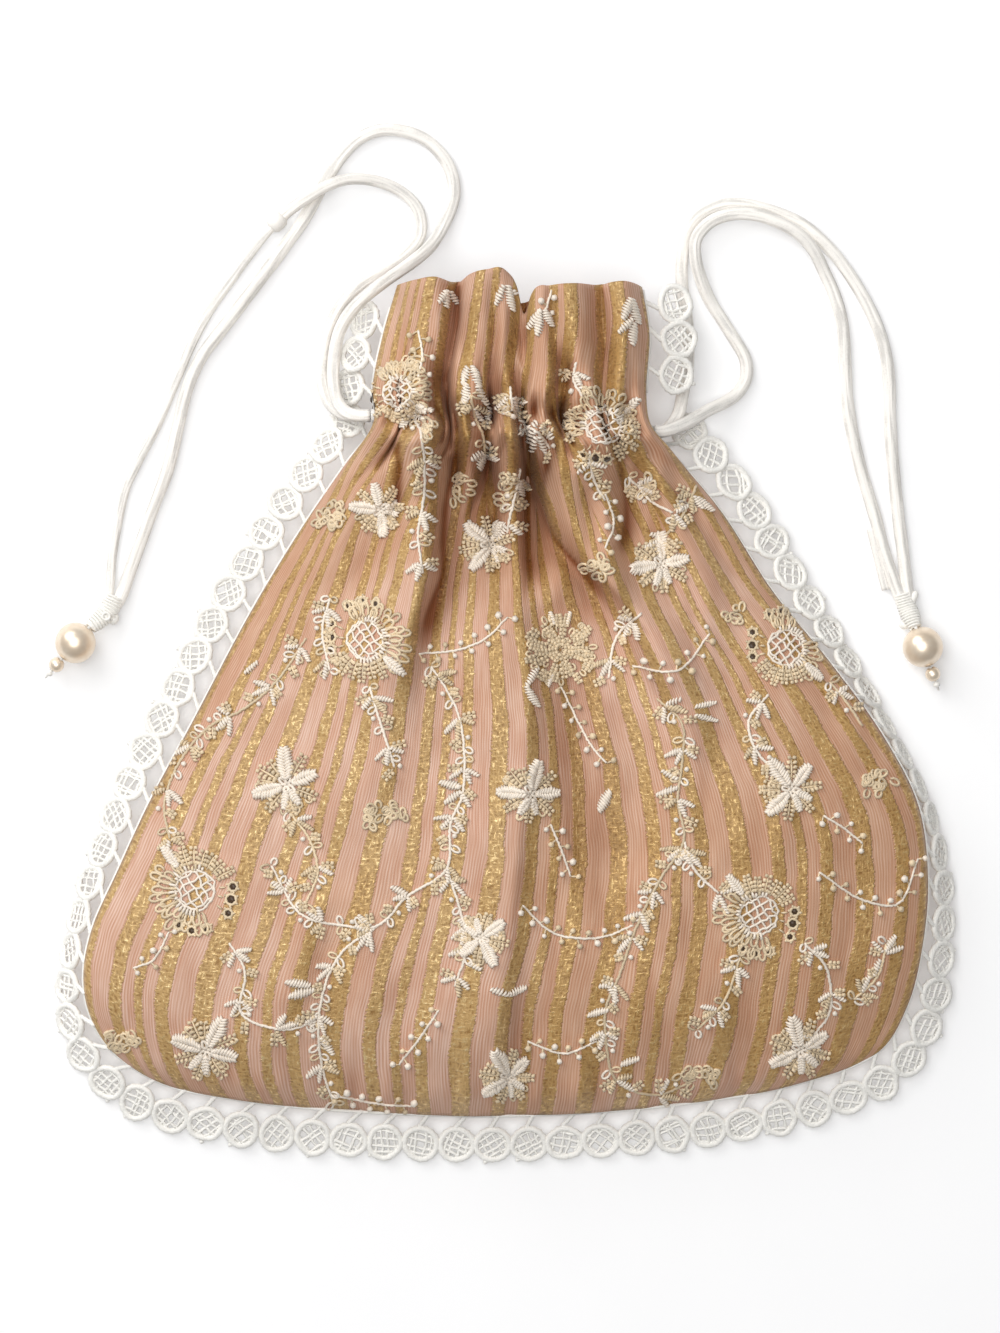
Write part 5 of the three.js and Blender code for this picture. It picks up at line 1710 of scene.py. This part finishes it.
class Needlework:
    """Embroidery in two colours of thread, laid stitch by stitch on a panel of cloth."""

    def __init__(self, panel, side, radius, press, seed):
        mesh = panel.data
        points = [vert.co for vert in mesh.vertices]
        self.cloth = BVHTree.FromPolygons(points, [face.vertices for face in mesh.polygons])
        self.side = side
        self.radius = radius
        self.press = press
        self.chance = random.Random(seed)
        # The third tint is not thread but painted shade laid in the eyelets.
        self.colours = {"white": Threads(), "beige": Threads(), "hole": Threads()}

    def drop(self, x, y):
        """Where a point of the plan falls on the cloth, and the cloth's outward normal there, if it does."""
        start = (x * MM, y * MM, self.side * DROP_FROM)
        spot, normal, _, _ = self.cloth.ray_cast(start, (0, 0, -self.side))
        if spot is None:
            return None
        return spot, (normal if normal.z * self.side > 0 else -normal)

    def lay(self, tint, points, thick=1.0, lift=0.0, ends=0.45, closed=False, sides=4, bumps=0.0):
        """Lays a thread through points of the plan in millimetres. Lift is its rise in the middle."""
        found = [self.drop(x, y) for x, y in points]
        if None in found:
            return
        spots, normals = (np.array(group) for group in zip(*found))
        swell = np.sin(math.pi * np.linspace(0, 1, len(spots)))
        radii = self.radius * thick * (ends + (1 - ends) * np.sqrt(np.abs(swell)))
        radii = radii * (1 + bumps * by_turns(len(spots), (-1, 1)))
        rise = radii * SUNK + lift * self.press * MM * swell
        line = spots + normals * rise[:, None]
        self.colours[tint].add(line, normals, radii, sides, closed, self.chance.random())

    def stitch(self, tint, first, second, thick=1.0, lift=0.3):
        self.lay(tint, np.linspace(first, second, STITCH_POINTS), thick, lift)

    def pick(self, ends):
        """A chance value between two ends."""
        return self.chance.uniform(*ends)

    def either(self, white):
        """White thread with the chance given, or else beige."""
        return "white" if self.chance.random() < white else "beige"

    def stem(self, tint, route, thick):
        """A couched rope of thread along a smooth route, wavering a little."""
        line = stepped(smooth_line(route, STEM_STEPS), ROPE_STEP)
        waver = np.array([[sway(self.chance, STEM_WAVER) for _ in range(2)] for _ in line])
        self.lay(tint, line + waver, thick, **ROPE)

    def knot(self, tint, x, y, size=1.0):
        """A small round knot."""
        turn = self.chance.uniform(0, math.pi)
        step = np.array([math.cos(turn), math.sin(turn)]) * KNOT_HALF * size
        spot = np.array([x, y])
        self.lay(tint, [spot + step * part for part in KNOT_PARTS], KNOT_THICK * size, **KNOT)

    def leaf(self, place, long, wide, tint="white"):
        """A satin leaf: slanted stitches laid side by side from edge to edge."""
        stitches = max(FEWEST_STITCHES, round(long / STITCH_GAP))
        for index in range(stitches):
            part = (index + 0.5) / stitches
            half = wide / 2 * blade(LEAF_FROM, part) * self.pick(UNEVEN)
            ends = [(long * (part - LEAF_SLANT), -half), (long * (part + LEAF_SLANT), half)]
            self.stitch(tint, *place(ends), *LEAF_STITCH)

    def petal(self, place, long, wide):
        """A fishbone petal: slanted stitches on both sides of a rib."""
        stitches = max(FEWEST_STITCHES, round(long / STITCH_GAP))
        for side in (-1, 1):
            for index in range(stitches):
                part = (index + PETAL_FIRST) / stitches
                half = wide / 2 * blade(PETAL_FROM, part) * self.pick(UNEVEN)
                root = (long * (part - PETAL_BACK), -side * PETAL_RIB)
                tip = (long * min(PETAL_END, part + PETAL_AHEAD), side * half)
                self.stitch("white", *place([root, tip]), *PETAL_STITCH)

    def fern(self, place, long, wide, tint="beige"):
        """A feather petal: a rib with short thick bars on both sides."""
        rib = [(long * part, 0) for part in np.linspace(0, 1, RIB_POINTS)]
        self.lay(tint, place(rib), *FERN_RIB_STITCH)
        pairs = max(FEWEST_BARS, round(long / BAR_GAP))
        narrow, more = FERN_WIDTH
        for side in (-1, 1):
            for index in range(pairs):
                part = (index + FERN_FIRST) / pairs
                half = wide / 2 * (narrow + more * math.sin(math.pi * part)) * self.pick(UNEVEN)
                bar = [(long * part, side * FERN_RIB), (long * part + FERN_SLANT, side * half)]
                self.stitch(tint, *place(bar), *FERN_BAR)

    def loop(self, place, long, wide, tint="beige", thick=LOOP_THICK):
        """A long buttonhole loop from its root."""
        turn = np.linspace(LOOP_OPEN, math.tau - LOOP_OPEN, LOOP_STEPS)
        points = [(long / 2 * (1 - math.cos(angle)), wide / 2 * math.sin(angle)) for angle in turn]
        self.lay(tint, place(points), thick, **LOOP)

    def hole(self, x, y, radius):
        """A dark round disc on the cloth, which is painted shade in an eyelet."""
        found = self.drop(x, y)
        if found is None:
            return
        spot, normal = (np.array(value) for value in found)
        line = [spot + normal * height for height in HOLE_LEVELS]
        self.colours["hole"].add(line, (0.0, 1.0, 0.0), radius * MM, HOLE_SIDES)

    def eyelet(self, place, radius):
        """A stitched ring round a pierced opening, with short bars outside and a dark disc of painted shade in the
        opening.
        """
        turn = np.linspace(0, math.tau, EYELET_POINTS, endpoint=False)
        away = radius * EYELET_RING
        ring = [(away * math.cos(angle), away * math.sin(angle)) for angle in turn]
        self.lay("beige", place(ring), **EYELET_RIM)
        for angle in turn[::2] + self.chance.uniform(0, 1):
            bar = [(radius * out * math.cos(angle), radius * out * math.sin(angle)) for out in EYELET_REACH]
            self.stitch("beige", *place(bar), *EYELET_BAR)
        self.hole(*place([(0, 0)])[0], radius)

    def lily(self, x, y, turn, scale):
        """A flower of white fishbone petals with beige feathers between them."""
        for angle, long, wide in LILY_PETALS:
            self.petal(placed(x, y, turn + angle, scale, LILY_PETAL_OUT), long, wide)
        for angle, long, wide in LILY_FERNS:
            self.fern(placed(x, y, turn + angle, scale, LILY_FERN_OUT), long, wide)
        for angle in HEART_ANGLES:
            self.loop(placed(x, y, turn + angle, scale), *HEART_LOOP)
        for _ in range(LILY_LOOPS):
            angle = self.chance.uniform(0, 360)
            out = self.pick(LILY_LOOP_OUT)
            self.loop(placed(x, y, turn + angle, scale, out), self.pick(LOOP_LONG), LOOP_WIDE)

    def net_flower(self, x, y, turn, scale):
        """A net of white thread, with feathers, loops and eyelets round it."""
        middle = placed(x, y, turn, scale)
        for direction in NET_TURNS:
            net = placed(x, y, turn + direction, scale)
            for off in NET_OFFS:
                reach = math.sqrt(NET_RADIUS**2 - off**2)
                parts = np.linspace(-1, 1, NET_STEPS)
                line = [(reach * part, off + sway(self.chance, NET_STRAY)) for part in parts]
                self.lay("white", net(line), NET_THICK, **NET_THREAD)
        rim = np.linspace(0, math.tau, NET_RIM_POINTS, endpoint=False)
        away = [NET_RADIUS * self.pick(NET_RIM_UNEVEN) for _ in rim]
        outline = [(out * math.cos(angle), out * math.sin(angle)) for out, angle in zip(away, rim)]
        self.lay("white", middle(outline), NET_THICK, **NET_RIM)
        for angle in np.radians(EDGE_ANGLES):
            outs = [NET_RADIUS * self.pick(share) for share in (EDGE_INNER, EDGE_OUTER)]
            ends = [(out * math.cos(angle), out * math.sin(angle)) for out in outs]
            self.stitch(self.either(EDGE_WHITE), *middle(ends), *EDGE_STITCH)
        for out, long in NET_LOOPS:
            for angle in NET_LOOP_ANGLES:
                lean = turn + angle + sway(self.chance, NET_LOOP_SWAY)
                spot = placed(x, y, lean, scale, out * self.pick(NET_LOOP_OUT))
                reach = long * self.pick(NET_LOOP_LONG)
                self.loop(spot, reach, NET_LOOP_WIDE, thick=NET_LOOP_THICK)
        for angle in NET_FERN_ANGLES:
            spot = placed(x, y, turn + angle, scale, NET_FERN_OUT)
            self.fern(spot, self.pick(NET_FERN_LONG), NET_FERN_WIDE)
        for angle, out, radius in NET_EYELETS:
            spot = placed(x, y, turn + angle, scale, out)
            self.eyelet(spot, radius)
            self.stitch("beige", *spot([(STALK_FROM, 0), (STALK_TO * radius, 0)]), *EYELET_STALK)
        angle, out, long, wide = NET_PETAL
        self.petal(placed(x, y, turn + angle, scale, out), long, wide)

    def bush(self, x, y, turn, scale):
        """A full beige flower of many feathers."""
        loop_turn, loop_out, loop_long = BUSH_LOOP
        for out, long, count in BUSH_RINGS:
            for step in range(count):
                angle = turn + step * 360 / count + sway(self.chance, BUSH_SWAY)
                reach = long * self.pick(BUSH_LONG)
                self.fern(placed(x, y, angle, scale, out * self.pick(BUSH_OUT)), reach, BUSH_FERN_WIDE)
                spot = placed(x, y, angle + loop_turn, scale, out + loop_out)
                self.loop(spot, self.pick(loop_long), LOOP_WIDE)
        for angle in BUSH_LEAF_ANGLES:
            self.leaf(placed(x, y, turn + angle, scale, BUSH_LEAF_OUT), *BUSH_LEAF)

    def cluster(self, x, y, wide, tall, count):
        """A patch of small overlapping loops."""
        for _ in range(count):
            angle = self.chance.uniform(0, 360)
            out = math.sqrt(self.chance.random())
            spot = (x + wide / 2 * out * math.cos(angle), y + tall / 2 * out * math.sin(angle))
            place = placed(*spot, angle * PATCH_TURN)
            self.loop(place, self.pick(LOOP_LONG), PATCH_LOOP, thick=PATCH_THICK)

    def sprig(self, route):
        """A thin stem with berries on short stalks on both sides."""
        self.stem("white", route, SPRIG_THICK)
        line = stepped(smooth_line(route, STEM_STEPS), BERRY_STEP)
        heading = unit(np.gradient(line, axis=0))
        for index, (spot, ahead) in enumerate(zip(line, heading)):
            side = np.array([-ahead[1], ahead[0]]) * (1 if index % 2 else -1)
            tip = spot + side * self.pick(BERRY_ASIDE) + ahead * BERRY_AHEAD
            self.stitch("beige", spot, tip, *BERRY_STALK)
            self.knot(self.either(BERRY_WHITE), *tip, self.pick(BERRY_SIZE))

    def vine(self, route):
        """A stem with fans of leaves, and feathers, loops and knots between them."""
        self.stem(self.either(VINE_WHITE), route, VINE_THICK)
        line = stepped(smooth_line(route, STEM_STEPS), VINE_STEP)
        heading = unit(np.gradient(line, axis=0))
        for index, (spot, ahead) in enumerate(zip(line, heading)):
            angle = math.degrees(math.atan2(ahead[1], ahead[0]))
            side = 1 if index % 2 else -1
            if index % FAN_EVERY == FAN_AT:
                self.fan(spot, angle, side)
            elif index % FAN_EVERY == FERN_AT:
                lean, long, wide = STEM_FERN
                self.fern(placed(*spot, angle + side * lean, out=FERN_OUT), self.pick(long), wide)
                aside = np.array([-ahead[1], ahead[0]]) * side
                self.knot("white", *(spot - aside * VINE_KNOT))
            elif self.chance.random() < VINE_LOOP_CHANCE:
                for lean, long, wide, tint, thick in VINE_LOOPS:
                    place = placed(*spot, angle + side * lean, out=VINE_LOOP_OUT)
                    self.loop(place, self.pick(long), wide, tint, thick)

    def fan(self, spot, angle, side):
        """A fan of leaves on one side of a stem, with a feather on the other."""
        for lean, long in FAN_LEAVES:
            reach = long * self.pick(FAN_LEAF_LONG)
            tint = self.either(VINE_WHITE)
            place = placed(*spot, angle + side * lean, out=FAN_OUT)
            self.leaf(place, reach, self.pick(FAN_LEAF_WIDE), tint)
        lean, long, wide = FAN_FERN
        self.fern(placed(*spot, angle + side * lean, out=FERN_OUT), self.pick(long), wide)


def blade(start, part):
    """Width of a leaf or petal at a part of its length, as a share of its widest."""
    return math.sin(math.pi * (start + BLADE_SPAN * part)) ** BLUNT


def placed(x, y, turn, scale=1.0, out=0.0):
    """A function that sizes a motif's points, turns them by degrees and sets them out from a middle."""
    angle = math.radians(turn)
    ahead = np.array([math.cos(angle), math.sin(angle)])
    aside = np.array([-ahead[1], ahead[0]])

    def move(points):
        local = np.asarray(points, float) * scale
        return np.array([x, y]) + (local[:, :1] + out * scale) * ahead + local[:, 1:] * aside

    return move


def embroider(panel, side, name, thin, press, seed):
    """All the motifs on one panel, as a piece for each colour."""
    work = Needlework(panel, side, bpy.context.scene.pouch_thread.radius * thin, press, seed)
    for row in NET_FLOWERS:
        work.net_flower(*row)
    for row in LILIES:
        work.lily(*row)
    for row in BUSHES:
        work.bush(*row)
    for row in CLUSTERS:
        work.cluster(*row)
    for x, y, turn, long, wide in LEAVES:
        work.leaf(placed(x, y, turn), long, wide)
    for route in VINES:
        work.vine(route)
    for route in SPRIGS:
        work.sprig(route)
    pieces = []
    # The dark eyelet tint makes a piece of painted shade.
    for tint, dark in THREAD_DARK.items():
        key = f"{tint}_thread"
        tone = getattr(bpy.context.scene.pouch_thread, tint)
        material = bpy.data.materials.get(key) or thread_finish(key, tone, dark)
        mesh = work.colours[tint].mesh(f"{name}_{tint}")
        pieces.append(add_piece(f"{name}_{tint}", mesh, material, "striped_cloth"))
    return pieces


def turned_mesh(name, outline, steps, matrix):
    """A solid turned about Y from pairs of radius and height in millimetres, then put in its place."""
    shape = bmesh.new()
    verts = [shape.verts.new((radius * MM, height * MM, 0)) for radius, height in outline]
    edges = [shape.edges.new(pair) for pair in zip(verts, verts[1:])]
    bmesh.ops.spin(
        shape, geom=verts + edges, cent=(0, 0, 0), axis=(0, 1, 0), angle=math.tau, steps=steps,
        use_merge=True,
    )
    bmesh.ops.remove_doubles(shape, verts=shape.verts, dist=MERGE_FINE)
    bmesh.ops.recalc_face_normals(shape, faces=shape.faces)
    bmesh.ops.transform(shape, matrix=matrix, verts=shape.verts)
    mesh = bpy.data.meshes.new(name)
    shape.to_mesh(mesh)
    shape.free()
    return mesh


def lying(place, heading, slope):
    """Where a turned piece lies: its axis along a heading, rising by a slope."""
    turn = Matrix.Rotation(heading - math.pi / 2, 4, "Z") @ Matrix.Rotation(slope, 4, "X")
    return Matrix.Translation(Vector(place) * MM) @ turn


def ball_outline(radius):
    """Outline of a bead with a rounded bore: out over the ball and back along the bore."""
    start = math.asin(BORE * BORE_EDGE / radius)
    angles = np.linspace(start, math.pi - start, BEAD_STEPS) - math.pi / 2
    outline = [(radius * math.cos(angle), radius * math.sin(angle)) for angle in angles]
    low, high = outline[0][1], outline[-1][1]
    return [(BORE, low + BEAD_LIP), *outline, (BORE, high - BEAD_LIP), (BORE, low + BEAD_LIP)]


def wound_thread(threads, path, radii):
    """Thread wound round a wrap from end to end."""
    side, over = path_sides(path)
    rows = np.arange(len(path))
    at = np.linspace(0, len(path) - 1, WRAP_TURNS * WIND_STEPS)
    angle = at / (len(path) - 1) * WRAP_TURNS * math.tau
    here, aside, above = (
        np.stack([np.interp(at, rows, values[:, axis]) for axis in range(3)], axis=1)
        for values in (path, side, over)
    )
    out = np.cos(angle)[:, None] * aside + np.sin(angle)[:, None] * above
    reach = np.interp(at, rows, radii) * (1 + WRAP_FLAT * np.cos(2 * angle))
    threads.add(here + reach[:, None] * out, out, WRAP_THREAD, WRAP_THREAD_SIDES)


def lump(threads, middle, heading, long, wide):
    """A rounded lump of thread."""
    angle = math.radians(heading)
    ahead = np.array([math.cos(angle), math.sin(angle), 0])
    line = [(np.array(middle) + ahead * long * part) * MM for part in LUMP_PARTS]
    threads.add(line, (0.0, 0.0, 1.0), wide * MM * np.sqrt(1 - LUMP_PARTS**2), LUMP_SIDES)


class POUCH_OT_stage(bpy.types.Operator):
    """Sets the floor, the soft lights and the camera above the pouch"""

    bl_idname = "pouch.stage"
    bl_label = "Stage"

    def execute(self, context):
        stage = context.scene.pouch_stage
        tall = PHOTO_PIXELS[1] * PHOTO_MM_PER_PIXEL * MM
        camera = bpy.data.objects.new("camera", bpy.data.cameras.new("camera"))
        camera.data.lens = stage.lens
        camera.data.sensor_width = SENSOR
        distance = tall * stage.lens / SENSOR
        camera.location = (PHOTO_MIDDLE[0] * MM, PHOTO_MIDDLE[1] * MM, PHOTO_LEVEL * MM + distance)
        context.scene.collection.objects.link(camera)
        context.scene.camera = camera

        shape = bmesh.new()
        bmesh.ops.create_grid(shape, x_segments=1, y_segments=1, size=stage.floor / 2)
        mesh = bpy.data.meshes.new("floor")
        shape.to_mesh(mesh)
        shape.free()
        mesh.materials.append(floor_finish(stage.glow))
        floor = bpy.data.objects.new("floor", mesh)
        context.scene.collection.objects.link(floor)
        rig.stage(floor)

        for name, place, wide, part in LIGHTS:
            light = bpy.data.lights.new(name, "AREA")
            light.shape = "DISK"
            light.size = wide
            light.energy = stage.power * part
            lamp = bpy.data.objects.new(name, light)
            lamp.location = place
            lamp.rotation_euler = (-Vector(place)).to_track_quat("-Z", "Y").to_euler()
            context.scene.collection.objects.link(lamp)

        world = bpy.data.worlds.new("sky")
        world.use_nodes = True
        sky = world.node_tree.nodes["Background"].inputs
        sky["Color"].default_value = (1, 1, 1, 1)
        sky["Strength"].default_value = stage.sky
        context.scene.world = world
        context.scene.view_settings.view_transform = "Standard"
        return {"FINISHED"}


def make_wrap(side):
    """The core of a wrapped end and the thread wound round it."""
    table = stepped(smooth_line(np.array(WRAPS[side]) * MM, ROUTE_STEPS), WRAP_STEP)
    path, radii = table[:, :3], table[:, 3]
    core = tube_mesh(f"{side}_wrap_core", path, radii - WRAP_THREAD / 2, WRAP_SIDES, WRAP_FLAT, 0)
    add_piece(f"{side}_wrap_core", core, cotton_material(), "cord", [f"{side}_end_wrap"])
    threads = Threads()
    wound_thread(threads, path, radii)
    for where, *row in LUMPS:
        if where == side:
            lump(threads, *row)
    if side == "left":
        turn = np.linspace(0, math.tau, LOOP_POINTS, endpoint=False)
        ring = np.stack([np.cos(turn), np.sin(turn), np.zeros_like(turn)], axis=1) * LOOP_RADIUS
        loop = (np.array(LOOP_MIDDLE) + ring) * MM
        threads.add(loop, (0.0, 0.0, 1.0), WRAP_THREAD, WRAP_THREAD_SIDES, True)
    add_piece(f"{side}_wrap_thread", threads.mesh(f"{side}_wrap_thread"), cotton_material(), "cord")


def make_beads(bead, side, heading, middle):
    """The pearl, the small pearl and the thread that ends in a knot below them."""
    nacre = bpy.data.materials.get("pearl_nacre") or pearl_finish(bead)
    pearl, seed = bead.pearl / MM, bead.seed / MM
    place = lying((*middle, pearl), heading, BEAD_SLOPE)
    seed_at = pearl + TOUCH_GAP + seed
    knot_at = seed_at + seed + TOUCH_GAP
    start = -pearl - TAIL_RADIUS
    tail = [(0, start), (TAIL_RADIUS, start)]
    tail += [(radius, knot_at + past) for radius, past in TAIL_KNOT]
    seed_place = place @ Matrix.Translation((0, seed_at * MM, 0))
    for name, outline, steps, where, material, slot, node in (
        ("large_pearl", ball_outline(pearl), PEARL_STEPS, place, nacre, "pearl", "pearl"),
        ("small_pearl", ball_outline(seed), SEED_STEPS, seed_place, nacre, "pearl", "seed_bead"),
        ("tail", tail, TAIL_STEPS, place, cotton_material(), "cord", "bead_thread"),
    ):
        mesh = turned_mesh(f"{side}_{name}", outline, steps, where)
        add_piece(f"{side}_{name}", mesh, material, slot, [f"{side}_{node}"])


class POUCH_OT_ends(bpy.types.Operator):
    """Makes the knot, the wrapped ends and the pearls of the drawstrings"""

    bl_idname = "pouch.ends"
    bl_label = "Ends"

    def execute(self, context):
        knot = turned_mesh("left_knot", KNOT_OUTLINE, KNOT_STEPS, lying(KNOT_MIDDLE, KNOT_HEADING, 0))
        add_piece("left_knot", knot, cord_material(), "cord", ["left_cord_knot"])
        drawstring("right_snipped_end", SNIPPED_ROUTE, context.scene.pouch_cord.thin_radius)
        for row in ENDS:
            make_wrap(row[0])
            make_beads(context.scene.pouch_bead, *row)
        return {"FINISHED"}


class POUCH_OT_drawstrings(bpy.types.Operator):
    """Makes the strands of both drawstrings, outside the pouch and inside its neck"""

    bl_idname = "pouch.drawstrings"
    bl_label = "Drawstrings"

    def execute(self, context):
        cord = context.scene.pouch_cord
        left, right = ([f"{side}_{piece}" for piece in END_PIECES] for side in ("left", "right"))
        right_snipped = [*right, "right_snipped_end"]
        for name, route, radius, long, far_end, pieces in (
            ("left_cord_outer", LEFT_OUTER_ROUTE, cord.radius, 0.248, "fitting", left),
            ("left_cord_inner", LEFT_INNER_ROUTE, cord.slim_radius, 0.115, "knot", ["left_knot"]),
            ("left_cord_thin", LEFT_THIN_ROUTE, cord.thin_radius, 0.107, "fitting", left),
            ("right_cord_inner", RIGHT_INNER_ROUTE, cord.radius, 0.198, "fitting", right_snipped),
            ("right_cord_outer", RIGHT_OUTER_ROUTE, cord.radius, 0.192, "fitting", right),
        ):
            piece, path = drawstring(name.replace("cord", "drawstring"), route, radius, [name])
            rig.cord(
                piece, exit=path[0], length=long, diameter=2 * radius, far_end=far_end, stiffness="limp",
                lay="loose", path=path, with_pieces=[bpy.data.objects[part] for part in pieces],
            )
        for name, *row in RUNS:
            drawstring(f"{name}_drawstring_run", hidden_route(*row), cord.radius, [f"{name}_cord_run"])
        return {"FINISHED"}


class POUCH_OT_panels(bpy.types.Operator):
    """Makes the front and back panels of striped cloth"""

    bl_idname = "pouch.panels"
    bl_label = "Panels"

    def execute(self, context):
        columns = len(PLEATS) * COLUMNS_PER_PLEAT
        cloth_panel("front_cloth", columns, FRONT_ROWS, front_points, "front_panel", False)
        cloth_panel("back_cloth", *BACK_GRID, back_points, "back_panel", True)
        return {"FINISHED"}


class POUCH_OT_embroidery(bpy.types.Operator):
    """Embroiders both panels, and says how each was cut"""

    bl_idname = "pouch.embroidery"
    bl_label = "Embroidery"

    def execute(self, context):
        front, back = (bpy.data.objects[name] for name in ("front_cloth", "back_cloth"))
        on_front = embroider(front, 1, "embroidery", *FRONT_WORK)
        on_back = embroider(back, -1, "back_embroidery", *BACK_WORK)
        for panel, under, pieces in ((front, "back_cloth", on_front), (back, "floor", on_back)):
            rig.sheet(panel, flat=CUT, area=CUT_AREA, held="gathered", rests_on=[under], with_pieces=pieces)
        return {"FINISHED"}


class POUCH_OT_lace(bpy.types.Operator):
    """Makes the ring lace round the seam"""

    bl_idname = "pouch.lace"
    bl_label = "Lace"

    def execute(self, context):
        chance = random.Random(LACE_SEED)
        for node, start, end in LACE_RUNS:
            threads = Threads()
            for where in ring_places(start, end):
                lace_ring(threads, where, context.scene.pouch_lace, chance)
            shares = np.linspace(start, end, round((end - start) * SEAM_LINE.long / PIPING_STEP))
            seam = [lace_frame(where)[0] * MM for where in shares]
            threads.add(seam, (0.0, 0.0, 1.0), context.scene.pouch_lace.piping, PIPING_SIDES)
            name = node.replace("lace", "ring_lace")
            add_piece(name, threads.mesh(name), cotton_material(), "lace", [node])
        return {"FINISHED"}


class POUCH_PT_sidebar(bpy.types.Panel):
    """Lists the steps and settings of the pouch"""

    bl_idname = "POUCH_PT_sidebar"
    bl_label = "Drawstring Pouch"
    bl_space_type = "VIEW_3D"
    bl_region_type = "UI"
    bl_category = "Pouch"

    def draw(self, context):
        for step in STEPS:
            self.layout.operator(step.bl_idname)
        for name, group in SETTINGS.items():
            box = self.layout.box()
            for key in group.__annotations__:
                box.prop(getattr(context.scene, name), key)


STEPS = (
    POUCH_OT_stage, POUCH_OT_ends, POUCH_OT_drawstrings, POUCH_OT_panels, POUCH_OT_embroidery,
    POUCH_OT_lace,
)
CLASSES = (*SETTINGS.values(), *STEPS, POUCH_PT_sidebar)


def register():
    for item in CLASSES:
        bpy.utils.register_class(item)
    for name, group in SETTINGS.items():
        setattr(bpy.types.Scene, name, PointerProperty(type=group))


def unregister():
    for name in SETTINGS:
        delattr(bpy.types.Scene, name)
    for item in reversed(CLASSES):
        bpy.utils.unregister_class(item)


def main():
    register()
    bpy.ops.pouch.stage()
    bpy.ops.pouch.ends()
    bpy.ops.pouch.drawstrings()
    bpy.ops.pouch.panels()
    bpy.ops.pouch.embroidery()
    bpy.ops.pouch.lace()
    boxes = {"cad": CAD_BOX, "visual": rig.bounds()}
    with open(SIZE_FILE, "w") as sizes:
        json.dump({name: [list(corner) for corner in box] for name, box in boxes.items()}, sizes)


if __name__ == "__main__":
    main()
